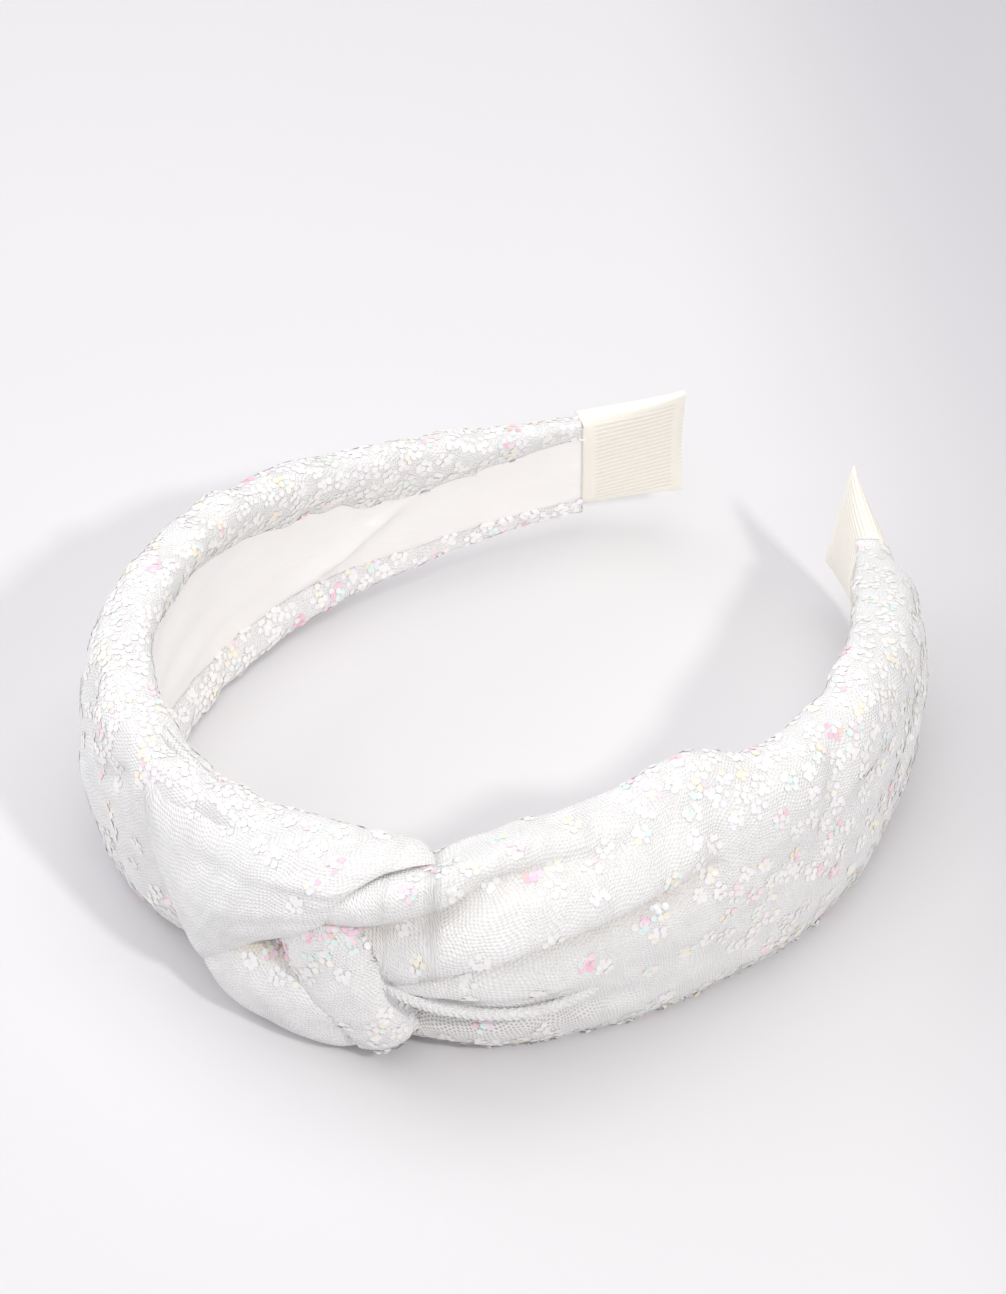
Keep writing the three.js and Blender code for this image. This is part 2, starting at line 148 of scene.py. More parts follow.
# The lining: a strip of white satin stretched over the hard inner band and glued down. It is
# smooth across, with a soft lengthwise fold on the left arm and faint drag lines near its edges.
RING_MIDDLE = (0.8636, 76.5734)  # mm, from the drawn line's origin to the part's own
RING_LINE = [  # mm: across, away from the two ends
    (-18, 0), (-31, 15), (-42, 31), (-50.5, 47), (-57, 63.4), (-60, 80), (-59, 97.5), (-54, 115),
    (-42, 129.8), (-23.5, 137.4), (-3.9, 138.5), (14, 135.7), (29, 126.3), (39.9, 112.5),
    (48.5, 97.5), (55, 81), (56.5, 62.5), (51.5, 45), (43, 29.5), (31.5, 14.5), (18, 0),
]
KNOT_ACROSS = 12
MIDDLE_HEIGHT = 20.8
LINING_THICK = 1.6
LINING_INSET = 2.4
END_LENGTH, RIGHT_END_SEEN = 20, 17  # the right arm's cover comes further over its ribbon
LINING_TUCK = 1.5  # under each ribbon end
LIP = 8.5
# share from the arm's end, drop of the middle, height, padding, upper lip, lower lip; mm but the first
LEFT_ARM = np.array([
    (0.10, 3.44, 21.5, 4.16, 0.85, 0.68), (0.17, 3.2, 24.5, 4.7, 4.25, 1.0),
    (0.28, 2.4, 30.1, 5.2, 8.9, 2.55), (0.40, 1.1, 36.6, 7.3, 8.1, 4.7), (0.52, 0, 41.7, 9.1, 6.8, 5.95),
    (0.70, 0, 43, 10.4, 6.8, 6.4), (0.80, 0, 41.4, 10.6, 6.8, 6.4), (0.88, -0.6, 37, 8.6, 5.1, 5.95),
    (1.0, -1, 33.5, 7.8, 4.25, 5.95),
])
RIGHT_ARM = np.array([
    (0.12, 2.6, 22.4, 6.5, 0.85, 0.68), (0.18, 1.7, 28.4, 9.6, 4.25, 2.55), (0.28, 0.4, 37, 10.7, 6.8, 5.1),
    (0.40, 0, 43, 10.1, 6.8, 5.95), (0.52, 0, 43, 10.7, 6.8, 6.4), (0.64, 0, 43, 12.7, 6.8, 6.4),
    (0.76, 0, 43, 14.9, 6.8, 6.4), (0.86, 0, 42.1, 14.8, 5.95, 5.95), (0.94, 0, 39.6, 12.6, 5.1, 5.95),
    (1.0, 0, 36.1, 11, 4.25, 5.95), (1.06, 0, 33, 9.5, 4.25, 5.95),
])


def drawn_line(points, per=60):
    """Centripetal curve through the points, as (length along it, x, y)"""
    p = np.array([(x + RING_MIDDLE[0], RING_MIDDLE[1] - y) for x, y in points])
    p = np.vstack([2 * p[0] - p[1], p, 2 * p[-1] - p[-2]])
    out = []
    for i in range(1, len(p) - 2):
        a, b, c, d = p[i - 1 : i + 3]
        ab, bc, cd = (max(np.hypot(*(v - u)), 1e-9) ** 0.5 for u, v in ((a, b), (b, c), (c, d)))
        m1 = ((b - a) / ab - (c - a) / (ab + bc) + (c - b) / bc) * bc
        m2 = ((c - b) / bc - (d - b) / (bc + cd) + (d - c) / cd) * bc
        t = np.linspace(0, 1, per, endpoint=False)[:, None]
        out.append(b * (2 * t**3 - 3 * t**2 + 1) + m1 * (t**3 - 2 * t**2 + t)
                   + c * (3 * t**2 - 2 * t**3) + m2 * (t**3 - t**2))
    line = np.vstack(out + [p[-2:-1]])
    run = np.concatenate([[0], np.cumsum(np.hypot(*np.diff(line, axis=0).T))])
    return run, line[:, 0], line[:, 1]


ring_run, ring_x, ring_y = drawn_line(RING_LINE)
front = (ring_run > ring_run[-1] / 3) & (ring_run < ring_run[-1] * 0.75)
knot_run = np.interp(KNOT_ACROSS + RING_MIDDLE[0], ring_x[front], ring_run[front])
LEFT_END, RIGHT_END = -knot_run, ring_run[-1] - knot_run
LEFT_JOINT, RIGHT_JOINT = LEFT_END + END_LENGTH, RIGHT_END - RIGHT_END_SEEN


def place(d, n, z):
    """Points in metres: d along the ring from the knot, n out of it, z up; arrays in mm"""
    d, n, z = np.broadcast_arrays(*(np.asarray(v, float) for v in (d, n, z)))
    at = d + knot_run
    step = 0.4
    x, y = np.interp(at, ring_run, ring_x), np.interp(at, ring_run, ring_y)
    tx = np.interp(at + step, ring_run, ring_x) - np.interp(at - step, ring_run, ring_x)
    ty = np.interp(at + step, ring_run, ring_y) - np.interp(at - step, ring_run, ring_y)
    long = np.hypot(tx, ty)
    return np.stack([x + ty / long * n, y - tx / long * n, z], -1) * MM


def eased(rows, x):
    """Smooth values at x from rows whose first column rises"""
    xs, last = rows[:, 0], len(rows) - 1
    x = np.clip(np.asarray(x, float), xs[0], xs[-1])
    i = np.clip(np.searchsorted(xs, x, "right") - 1, 0, last - 1)
    low, high = np.maximum(np.arange(last + 1) - 1, 0), np.minimum(np.arange(last + 1) + 1, last)
    slope = (rows[high, 1:] - rows[low, 1:]) / (xs[high] - xs[low])[:, None]
    w = (xs[i + 1] - xs[i])[..., None]
    t = (x - xs[i])[..., None] / w
    h = t * t * (3 - 2 * t)
    turn = (1 - t) * slope[i] - t * slope[i + 1]
    return rows[i, 1:] * (1 - h) + rows[i + 1, 1:] * h + w * t * (1 - t) * turn


def arm_at(d, split=0):
    """Middle, half height, padding, upper and lower lip of the cover at each d, in mm"""
    d = np.asarray(d, float)
    left, right = eased(LEFT_ARM, 1 - d / LEFT_END), eased(RIGHT_ARM, 1 - d / RIGHT_END)
    drop, height, padding, upper, lower = np.moveaxis(np.where((d < split)[..., None], left, right), -1, 0)
    return MIDDLE_HEIGHT - drop, height / 2, padding, upper, lower


def waves(x, y, long, seed, count=7):
    """Uneven ripples, about 1 either way: a few sines of near lengths in scattered directions"""
    rng = np.random.default_rng(seed)
    total = 0
    for _ in range(count):
        way, size, start = rng.uniform(0, 2 * np.pi), long * rng.uniform(0.6, 1.7), rng.uniform(0, 2 * np.pi)
        total = total + np.sin(2 * np.pi * (x * np.cos(way) + y * np.sin(way)) / size + start)
    return total / count**0.5 / 1.2


def shell(name, rings, u, v, **shares):
    """A closed skin through rings of points, with its ends closed; u and v in mm, v one column
    longer than a ring, and shares are values kept on its points"""
    rows, per = rings.shape[:2]
    points = np.vstack([rings.reshape(-1, 3), rings[0].mean(0)[None], rings[-1].mean(0)[None]])
    r, c = np.meshgrid(np.arange(rows - 1), np.arange(per), indexing="ij")
    r, c, c1 = r.ravel(), c.ravel(), (c.ravel() + 1) % per
    quads = np.stack([r * per + c, r * per + c1, (r + 1) * per + c1, (r + 1) * per + c], -1)
    k, first, last = np.arange(per), rows * per, rows * per + 1
    caps = [np.stack([(k + 1) % per, k, np.full(per, first)], -1),
            np.stack([(rows - 1) * per + k, (rows - 1) * per + (k + 1) % per, np.full(per, last)], -1)]
    faces = quads.tolist() + caps[0].tolist() + caps[1].tolist()
    u2, v2 = np.broadcast_to(u, (rows, per + 1)), np.broadcast_to(v, (rows, per + 1))
    uv = np.stack([u2, v2], -1)
    corner = np.stack([uv[r, c], uv[r, c + 1], uv[r + 1, c + 1], uv[r + 1, c]], 1).reshape(-1, 2)
    hubs = [np.broadcast_to(uv[end].mean(0), (per, 2)) for end in (0, -1)]
    cap_uv = [np.stack([uv[0, k + 1], uv[0, k], hubs[0]], 1).reshape(-1, 2),
              np.stack([uv[-1, k], uv[-1, k + 1], hubs[1]], 1).reshape(-1, 2)]
    tri = points[quads[:, [0, 1, 2, 0, 2, 3]]].reshape(-1, 3, 3)
    if np.einsum("ij,ij->i", tri[:, 0], np.cross(tri[:, 1], tri[:, 2])).sum() < 0:
        faces = [f[::-1] for f in faces]
        corner = corner.reshape(-1, 4, 2)[:, ::-1].reshape(-1, 2)
        cap_uv = [part.reshape(-1, 3, 2)[:, ::-1].reshape(-1, 2) for part in cap_uv]
    mesh = bpy.data.meshes.new(name)
    mesh.from_pydata(points.tolist(), [], faces)
    mesh.uv_layers.new(name="cloth_mm").data.foreach_set("uv", np.vstack([corner, *cap_uv]).ravel())
    mesh.polygons.foreach_set("use_smooth", [True] * len(quads) + [False] * 2 * per)
    for share, values in shares.items():
        flat = np.concatenate([np.broadcast_to(values, (rows, per)).ravel(), [0, 0]])
        mesh.attributes.new(share, "FLOAT", "POINT").data.foreach_set("value", flat.astype(np.float32))
    made = bpy.data.objects.new(name, mesh)
    scene.collection.objects.link(made)
    return made


def lengths(points, axis):
    """Running length of points (m) along an axis, in mm, starting at 0"""
    step = np.linalg.norm(np.diff(points, axis=axis), axis=-1) / MM
    start = np.zeros_like(np.take(step, [0], axis=axis))
    return np.concatenate([start, np.cumsum(step, axis=axis)], axis=axis)


def steps(a, b, size):
    return np.linspace(a, b, int(math.ceil(abs(b - a) / size)) + 1)


FOLD_HIGH, FOLD_HALF = 2.1, 2.6
d = steps(LEFT_JOINT - LINING_TUCK, RIGHT_JOINT + LINING_TUCK, 1.1)[:, None]
middle, half, _, upper, lower = arm_at(d)
reach = half - LINING_INSET
across = np.linspace(1, -1, 70)[None, :]
z = middle + reach * across
fold = np.exp(-(((z - MIDDLE_HEIGHT - (0.71 * LEFT_END - d) * 0.6) / FOLD_HALF) ** 2)) * (d < -40)
from_lips = reach - (upper + lower) / 2 - np.abs(z - middle + (upper - lower) / 2)
room_left = np.clip(from_lips / 4.8, 0, 1)
drag = 0.16 * waves(d * 0.35, z, 9, 3) + 0.16 * waves(d, z * 0.4, 13, 4)
inner = place(d, -room_left * FOLD_HIGH * fold + drag * room_left, z)
outer = place(d, 0.7, z[:, ::-1])
rings = np.concatenate([inner, outer], 1)
v = lengths(np.concatenate([rings, rings[:, :1]], 1), 1)
lining = shell("satin_lining", rings, d, v)
# Acetate satin: long warp floats give a soft broad gloss across the band and fine threads along it
satin, tree, shader = surface("woven_satin", Roughness=0.25, Sheen_Weight=0.4, Sheen_Roughness=0.4)
shader.inputs["Specular IOR Level"].default_value = 0.5
coordinate = node(tree, "ShaderNodeUVMap", uv_map="cloth_mm")
THREAD_SPACING = 0.45  # mm; the real 0.1 mm is too fine to show
threads = node(tree, "ShaderNodeTexNoise", {"Scale": 1, "Detail": 3, "Vector": node(
    tree, "ShaderNodeMapping", {"Vector": coordinate.outputs["UV"],
    "Scale": (0.12 / THREAD_SPACING, 1 / THREAD_SPACING, 1)}).outputs["Vector"]})
tint = node(tree, "ShaderNodeValToRGB", {"Fac": threads.outputs["Fac"]})
for element, at, colour in zip(tint.color_ramp.elements, (0.3, 0.7), ("#FCFAF8", "#FFFDFC")):
    element.position, element.color = at, linear(colour)
tree.links.new(tint.outputs["Color"], shader.inputs["Base Color"])
relief = node(tree, "ShaderNodeBump", {"Strength": 0.35, "Distance": 0.05 * MM,
                                       "Height": threads.outputs["Fac"]})
tree.links.new(relief.outputs["Normal"], shader.inputs["Normal"])
lining.data.materials.append(satin)
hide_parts("lining")
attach(lining, "root")

# The padded arms: foam round the hard band, covered in white net over satin. The net's edges turn
# over the lining as soft gathered lips. Sequins lie thickest along the top edge and near the ends.
PUFF = 0.55
LIP_DEEP = 2.6


def cover_rings(d, columns, split=0):
    """Cross-section of the cover at each d: (n, z) of the seen skin from the lower lip round
    the outside to the upper lip, how far each point is on the padded outside, and its height
    measured along the skin"""
    middle, half, padding, upper, lower = (v[:, None] for v in arm_at(d, split))
    angle = np.radians(np.linspace(-90, 90, 61))[None, :]
    out_n = LINING_THICK / 2 + padding * np.cos(angle).clip(0) ** PUFF
    out_z = middle + half * np.sin(angle)
    dd = d[:, None]

    def lip(size, edge, up):
        long = size * (1 + 0.07 * waves(dd, 0, 17, 11 + up) + 0.05 * waves(dd, 0, 6, 14 + up))
        deep = np.maximum(0.6, LIP_DEEP * np.minimum(1, size / (0.6 * LIP)))
        deep = deep * (1 + 0.12 * waves(dd, 0, 8, 17 + up))
        n = np.concatenate([-0.55 * deep, -0.95 * deep, -deep, -0.8 * deep, -0.25 - 0 * deep], 1)
        z = np.concatenate([edge - up * s * long for s in (0.02, 0.25, 0.5, 0.85)]
                           + [edge - up * (long + LINING_INSET)], 1)
        return n, z

    top_n, top_z = lip(upper, middle + half, 1)
    low_n, low_z = lip(lower, middle - half, -1)
    n = np.concatenate([low_n[:, ::-1], out_n, top_n], 1)
    z = np.concatenate([low_z[:, ::-1], out_z, top_z], 1)
    side = np.concatenate([low_n * 0, np.clip(np.cos(angle) ** 0.5, 0, 1) + 0 * out_n, top_n * 0], 1)
    run = np.concatenate([n[:, :1] * 0, np.cumsum(np.hypot(np.diff(n), np.diff(z)), 1)], 1)
    share = run / run[:, -1:]
    even = np.linspace(0, 1, columns)
    resampled = [np.stack([np.interp(even, s, row) for s, row in zip(share, values)])
                 for values in (n, z, side)]
    for _ in range(7):
        for values in resampled:
            values[:, 1:-1] = (values[:, :-2] + 2 * values[:, 1:-1] + values[:, 2:]) / 4
    n, z, side = resampled
    run = np.concatenate([0 * dd, np.cumsum(np.hypot(np.diff(n), np.diff(z)), 1)], 1)
    at_middle = [np.interp(m, heights[outside], runs[outside])
                 for m, heights, runs, outside in zip(middle[:, 0], z, run, side > 0.5)]
    return n, z, side, run - np.array(at_middle)[:, None] + middle


def cover(name, d, n, z, **shares):
    """The cover's closed skin: what is seen, and its way back behind the lining"""
    middle, half, _, _, _ = (x[:, None] for x in arm_at(d))
    edge = half - LINING_INSET + 0.3
    back_n = np.concatenate([0 * edge + x for x in (0.3, 0.3, 1.9, 1.9, 0.3, 0.3)], 1)
    back_z = np.concatenate([z[:, -1:] + 0.6, middle + edge, middle + edge, middle - edge, middle - edge,
                             z[:, :1] - 0.6], 1)
    z = np.maximum(np.concatenate([z, back_z], 1), 0.02)
    n = np.concatenate([n, back_n], 1)
    rings = place(d[:, None], n, z)
    hidden = np.zeros((len(d), 6))
    shares = {k: np.concatenate([value, hidden], 1) for k, value in shares.items()}
    u = d[:, None] * 1.1
    v = lengths(np.concatenate([rings, rings[:, :1]], 1), 1)
    v = v - v[:, v.shape[1] // 2 : v.shape[1] // 2 + 1]
    return shell(name, rings, u, v, **shares)


def lifted(d, high, n, z, rows, lean):
    """The top edge raised by the rows' mm at each d, leaning inward by a share of that"""
    brow = np.exp(-(((high - 50) / np.where(high < 50, 6, 10)) ** 2))
    rise = np.interp(d, [a for a, _ in rows], [b for _, b in rows])
    return n - brow * rise * lean, z + brow * rise * (1 - lean / 2)


DRAWN_OUT, DRAWN_IN, DRAWN_LIP, FLAT_LIP = 1.6, 1.8, 2.6, 0.85


def tucked(n, z, middle, half, share):
    """The cover drawn in by the share, where its end goes under its neighbour"""
    inside = np.clip((half - np.abs(z - middle) - 1) / 3, 0, 1) * (n < 0)
    drawn = DRAWN_LIP * inside * np.sign(z - middle) - DRAWN_IN * (1 - inside) * (z - middle) / half
    return np.where(n < 0, n * (1 - FLAT_LIP * share), n - DRAWN_OUT * share), z + share * drawn


def bump(x):
    """A smooth hill over -1..1, 1 at its middle"""
    return np.where(np.abs(x) < 1, np.cos(np.pi / 2 * np.clip(x, -1, 1)) ** 2, 0)


def creased(d, z, rows):
    """Depth of creases at (d, z): from d, z to d, z, depth, half width, in mm"""
    total = 0
    for d0, z0, d1, z1, deep, wide in rows:
        t = np.clip(((d - d0) * (d1 - d0) + (z - z0) * (z1 - z0)) / ((d1 - d0) ** 2 + (z1 - z0) ** 2), 0, 1)
        off = np.hypot(d - d0 - t * (d1 - d0), z - z0 - t * (z1 - z0))
        total = np.maximum(total, deep * (1 - 0.5 * t) * np.exp(-((off / wide) ** 2)))
    return total


def spots(d, z, centres, size=2.3):
    """1 near each of the centres and 0 away from them, in mm"""
    return np.max([np.exp(-((((d - a) ** 2 + (z - b) ** 2) / size**2) ** 2)) for a, b in centres], axis=0)


LEFT_CREASES = [(-112, 43, -104, 24, 2.4, 3), (-60, 38, -47, 8, 1.8, 3.2), (-150, 20, -120, 27, 1.4, 2.4),
                (-44, 34, -58, 22, 1.2, 2), (-43, 14, -62, 9, 1.2, 2), (-128, 8, -108, 3, 1.2, 2)]
LEFT_TOP = [(-64, 0), (-52, -1.2), (-41, -3.4), (-30, -3.2), (-20, -2), (-11, 0.4), (0, 1.5)]
d = steps(LEFT_JOINT, 0, 0.75)
n, z, side, high = cover_rings(d, 150)
dd = d[:, None] + 0 * z
n = n - side * creased(dd, high, LEFT_CREASES)
soft = 0.32 * waves(dd, z, 19, 21) + 0.16 * waves(dd, z * 1.4, 8, 22) + 0.07 * waves(dd, z, 3.6, 23)
n = n + soft * (0.5 + 0.5 * side)
top = np.exp(-(((z - arm_at(d)[0][:, None] - arm_at(d)[1][:, None]) / 4) ** 2))
z = z + 0.75 * top * waves(dd, 0, 15, 24) * np.clip((dd + 190) / 90, 0.2, 1)
lips = (side < 0.02) * np.clip((-dd - 40) / 40, 0, 1)
n, z = lifted(dd, high, n, z, LEFT_TOP, 0)
far = np.clip((-dd - 60) / 60, 0, 0.6)
dense = 0.3 + 0.7 * np.clip(top * 1.3 + (z < 9) * side + far + 0.6 * lips, 0, 1)
middle, half = (x[:, None] for x in arm_at(d)[:2])
n, z = tucked(n, z, middle, half, np.clip((dd + 4) / 4, 0, 1))
left_arm = cover("left_padded_arm", d, n, z, sequins=dense, crevice=0 * z)
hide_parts("left_cover")

# The right arm: the same padding, where the two cloths of the knot run out of it as deep pleats
# that lean over one another and fade along the arm.
# each pleat: d, height of the ridge along the skin, half width above and below, thickness, lean; mm
UPPER_FOLD = np.array([
    (-6, 31.3, 4, 4.6, 3.2, 0), (3, 36.3, 4.4, 5.6, 4.6, 1), (9, 40, 4, 6.5, 3.4, 1.8),
    (14, 43, 5, 7, 2.8, 2), (20, 46, 6, 5, 2, 1.4), (28, 47, 5, 4, 1.3, 0.7), (38, 47, 5, 4, 0.7, 0.2),
    (50, 47, 5, 4, 0, 0)])
ROLLED_PLEAT = np.array([
    (3.5, 22, 2, 2, 0.7, 0), (7, 24.6, 3, 2.4, 3, 2.4), (14, 31.4, 4.4, 3.2, 4.6, 4.2),
    (19.5, 34.2, 6, 3.6, 4.8, 4.8), (25, 36.6, 6.5, 4, 4.5, 4.6), (35.5, 37.4, 6.5, 4.4, 3.2, 3.4),
    (50, 37.4, 6, 5, 1.6, 1.2), (64, 37, 5, 4, 0, 0)])
MIDDLE_PLEAT = np.array([
    (4, 18.6, 2, 2, 0.6, 0), (9, 20.8, 3, 3, 2.2, 0), (14, 22.6, 4, 4.4, 2.8, 0.6),
    (20, 23.4, 5.5, 5.2, 2.7, 1), (28, 23.6, 7, 5.6, 2, 1), (40, 25, 8, 7, 0.9, 0.4),
    (56, 27, 7, 7, 0.4, 0), (70, 28, 7, 7, 0, 0)])
KNOT_CREASES = [(4, 29.6, 14, 35.6, 3, 1.7), (14, 35.6, 21, 41.6, 2.4, 1.7), (21, 41.6, 44, 43, 2, 1.8),
                (5, 20.4, 14, 26.4, 3.4, 1.8), (14, 26.4, 26, 31.4, 4.6, 1.9), (26, 31.4, 56, 33.6, 3.6, 2.2)]
ARM_CREASES = [(8, 12, 40, 13, 3, 2.8), (84, 43, 74, 22, 1.6, 2.6), (128, 30, 100, 22, 1.4, 2.4),
               (118, 12, 88, 6, 1.3, 2.2), (92, 30, 70, 27, 1.0, 2.4), (60, 44, 54, 30, 1.4, 2.6)]
# where the net's holes are painted dark as shade under the hanging net: d, z to d, z, depth, half width
OPENWORK_SHADE = [(9, 9.6, 35, 10.6, 1, 3.1)]
# where painted warm shade darkens the net deep between the folds, and where rosettes of sequins lie: d,
# height
KNOT_SHADE_SPOTS = [(-1.5, 29), (1, 25), (3.4, 20.5), (5, 16), (7, 12), (0, 20)]
FOLD_SHADE_SPOTS = [(4, 42.5), (6.5, 44), (9, 45.5)]
ROSETTES = [(12, 49), (17.5, 46), (20, 42), (12.5, 34.4), (9.5, 31.5), (35.5, 42.4), (44, 50), (56, 50),
            (23, 13.5), (19, 9)]
ROSY_ROSETTES = [(6.5, 47), (13.5, 45.5), (9.5, 40.5), (23.5, 48), (27, 42), (40, 32.5), (43.5, 28.5),
                 (42.5, 35), (33, 25), (48, 34)]
# d, rise of the top edge
RIGHT_TOP = [(-9, 1), (2, 1), (7, -0.6), (12, -2.2), (16, -0.8), (20, 0.2), (26, 1.6), (34, 2.2), (44, 3.6),
             (52, 5), (59, 5.8), (64, 4), (69, 0.9), (76, 0.2), (100, 0.4), (150, 0)]
d = steps(-9, RIGHT_JOINT, 0.62)
n, z, side, high = cover_rings(d, 168, -99)
dd = d[:, None] + 0 * z
n = n - side * creased(dd, high, KNOT_CREASES + ARM_CREASES)
# painted shade: the net is coloured a warm darker tone in the knot's creases and at its deep spots
crevice = side * (creased(dd, high, KNOT_CREASES) / 14 + 0.9 * spots(dd, high, KNOT_SHADE_SPOTS, 3.2)
                  + 0.8 * spots(dd, high, FOLD_SHADE_SPOTS, 1.6))
along_n, along_z = np.gradient(n, axis=1), np.gradient(z, axis=1)
long = np.maximum(np.hypot(along_n, along_z), 1e-6)
along_n, along_z = along_n / long, along_z / long
rise, slide = 0 * n, 0 * n
for pleat in (UPPER_FOLD, ROLLED_PLEAT, MIDDLE_PLEAT):
    ridge, above, below, thick, lean = (x[:, None] for x in np.moveaxis(eased(pleat, d), -1, 0))
    shape = bump((high - ridge) / np.where(high > ridge, above, below)) ** np.where(high > ridge, 1, 0.65)
    gone = np.clip((pleat[-1, 0] - dd) / 14, 0, 1) * np.clip((dd - pleat[0, 0]) / 3, 0, 1)
    rise = rise + thick * shape * gone
    slide = slide + lean * shape * gone
n, z = n + rise * along_z - slide * along_n, z - rise * along_n - slide * along_z
soft = 0.3 * waves(dd, high, 21, 31) + 0.15 * waves(dd, high * 1.4, 9, 32) + 0.07 * waves(dd, high, 3.6, 33)
n = n + soft * (0.5 + 0.5 * side)
top = np.exp(-(((high - 49) / 6) ** 2))
z = z + top * 0.7 * waves(dd, 0, 17, 34)
n, z = lifted(dd, high, n, z, RIGHT_TOP, 0.5)
# the cut net and its sequins stick out raggedly where the band stands on the table
ragged = np.random.default_rng(35).uniform(-0.2, 1.1, len(d))[:, None] * (z < 1.4) * (side > 0.02)
n = n + ragged
middle, half = (x[:, None] for x in arm_at(d)[:2])
n, z = tucked(n, z, middle, half, np.clip((-5 - dd) / 4, 0, 1))
away = np.clip((d[:, None] - 40) / 30, 0, 1)
dense = (0.05 + 0.65 * away + (0.3 + 0.5 * away) * top + (high < 7) * (side > 0)
         + spots(dd, high, ROSETTES + ROSY_ROSETTES))
panel_shade = creased(dd, high, OPENWORK_SHADE) * side
right_arm = cover("right_padded_arm", d, n, z, sequins=np.clip(dense, 0, 1),
                  rosy=spots(dd, high, ROSY_ROSETTES, 3), openwork=np.clip(panel_shade * 1.4, 0, 1),
                  crevice=np.clip(crevice, 0, 1))
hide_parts("right_cover", "upper_fold", "rolled_pleat", "middle_pleat")

# Nylon net over satin: fine matt six-sided mesh whose holes show the glossy cloth beneath, so it
# glitters in tiny dots.
HOLE_SPACING = 0.7  # mm
NET_THREAD, NET_HOLE = "#F6F5F6", "#FFFFFD"
OPEN_THREAD, OPEN_HOLE_SHADE = "#FAF9F8", "#CFCBC8"
# the warm colour of the painted shade in creases and hollows
WARM_CREVICE_SHADE = "#EEDDC2"
net, tree, shader = surface("nylon_net_over_satin", Sheen_Weight=0.35, Sheen_Roughness=0.5,
                            Specular_IOR_Level=0.6)
coordinate = node(tree, "ShaderNodeUVMap", uv_map="cloth_mm").outputs["UV"]
warp = node(tree, "ShaderNodeTexNoise", {"Scale": 0.16, "Detail": 1, "Vector": coordinate})
pulled = node(tree, "ShaderNodeVectorMath", {0: warp.outputs["Color"], 1: (2.6, 2.6, 0)},
              operation="MULTIPLY")
lie = node(tree, "ShaderNodeVectorMath", {0: coordinate, 1: pulled.outputs[0]}, operation="ADD").outputs[0]
PITCH = 4 * math.pi / (math.sqrt(3) * HOLE_SPACING)
crests = []
for turn in (10, 70, 130):
    way = (PITCH * math.cos(math.radians(turn)), PITCH * math.sin(math.radians(turn)), 0)
    dot = node(tree, "ShaderNodeVectorMath", {0: lie, 1: way}, operation="DOT_PRODUCT")
    crests.append(node(tree, "ShaderNodeMath", {0: dot.outputs["Value"]}, operation="COSINE").outputs[0])
two = node(tree, "ShaderNodeMath", {0: crests[0], 1: crests[1]}, operation="ADD").outputs[0]
three = node(tree, "ShaderNodeMath", {0: two, 1: crests[2]}, operation="ADD").outputs[0]
hole = node(tree, "ShaderNodeMapRange", {0: three, 1: -1.2, 2: 1.6, 3: 0.0, 4: 1.0}).outputs[0]
patch = node(tree, "ShaderNodeTexNoise", {"Scale": 0.11, "Detail": 2, "Vector": coordinate})
cloth_tone = node(tree, "ShaderNodeMix", {0: hole, 6: linear(NET_THREAD), 7: linear(NET_HOLE)},
                  data_type="RGBA")
# painted shade: creases and hollows are coloured a warm darker tone
deep = node(tree, "ShaderNodeAttribute", attribute_name="crevice")
# at the foot of the right arm's pleats the net hangs clear of the satin, and its holes are painted dark as
# the shade seen through them
open_shade_mask = node(tree, "ShaderNodeAttribute", attribute_name="openwork")
open_shaded_tone = node(tree, "ShaderNodeMix", {0: hole, 6: linear(OPEN_THREAD), 7: linear(OPEN_HOLE_SHADE)},
                 data_type="RGBA")
open_shaded = node(tree, "ShaderNodeMix", {0: open_shade_mask.outputs["Fac"], 6: cloth_tone.outputs[2],
                                      7: open_shaded_tone.outputs[2]}, data_type="RGBA")
crevice_shaded = node(tree, "ShaderNodeMix", {0: deep.outputs["Fac"], 6: open_shaded.outputs[2], 7: linear(WARM_CREVICE_SHADE)},
              data_type="RGBA")
tree.links.new(crevice_shaded.outputs[2], shader.inputs["Base Color"])
glint = node(tree, "ShaderNodeMapRange", {0: patch.outputs["Fac"], 1: 0.35, 2: 0.65, 3: 0.26, 4: 0.13})
gloss = node(tree, "ShaderNodeMapRange", {0: hole, 3: 0.5, 4: glint.outputs[0]})
tree.links.new(gloss.outputs[0], shader.inputs["Roughness"])
fleck = node(tree, "ShaderNodeTexNoise", {"Scale": 2.2, "Detail": 2, "Vector": coordinate})
height = node(tree, "ShaderNodeMath", {0: three, 1: fleck.outputs["Fac"]}, operation="MULTIPLY")
relief = node(tree, "ShaderNodeBump", {"Strength": 0.8, "Distance": 0.11 * MM,
                                       "Height": height.outputs[0]}, invert=True)
tree.links.new(relief.outputs["Normal"], shader.inputs["Normal"])
for arm in (left_arm, right_arm):
    arm.data.materials.append(net)
    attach(arm, "root")

# The knot: the two cloths cross at the front. A smooth full lobe comes from the left arm's top,
# a narrow loop lies under it, and a flat strap with cut edges holds both and runs down to the table.
# the lobe: d, its lower folded edge, distance out of that edge and of its crown; and d, its top; mm
# the others: share along, d, z, distance out, width, thickness, bow; mm but the first
LOBE_EDGE = np.array([
    (-41, 34.6, 3, 3.4), (-37.6, 34.8, 8.8, 10), (-34.4, 23, 10.6, 12.4), (-28.5, 10.8, 9.8, 14.6),
    (-24, 4.4, 9.6, 15.6), (-18.5, 12, 11.5, 16.2), (-13.5, 18, 12, 16.2), (-9.5, 21.6, 12.4, 16),
    (-4.5, 26, 12.2, 15.4), (-0.5, 31.6, 11, 14.8), (2, 37.2, 8.6, 12), (5, 39.6, 6, 9),
    (9, 40, 5, 6.2), (13, 39.2, 2.8, 3.4),
])
LOBE_TOP = np.array([(-41, 35.2), (-38, 37.6), (-31, 38.4), (-22, 38.6), (-15, 40), (-8, 41.7), (1, 42.2),
                     (7, 41.6), (11, 40.6), (13, 39.8)])
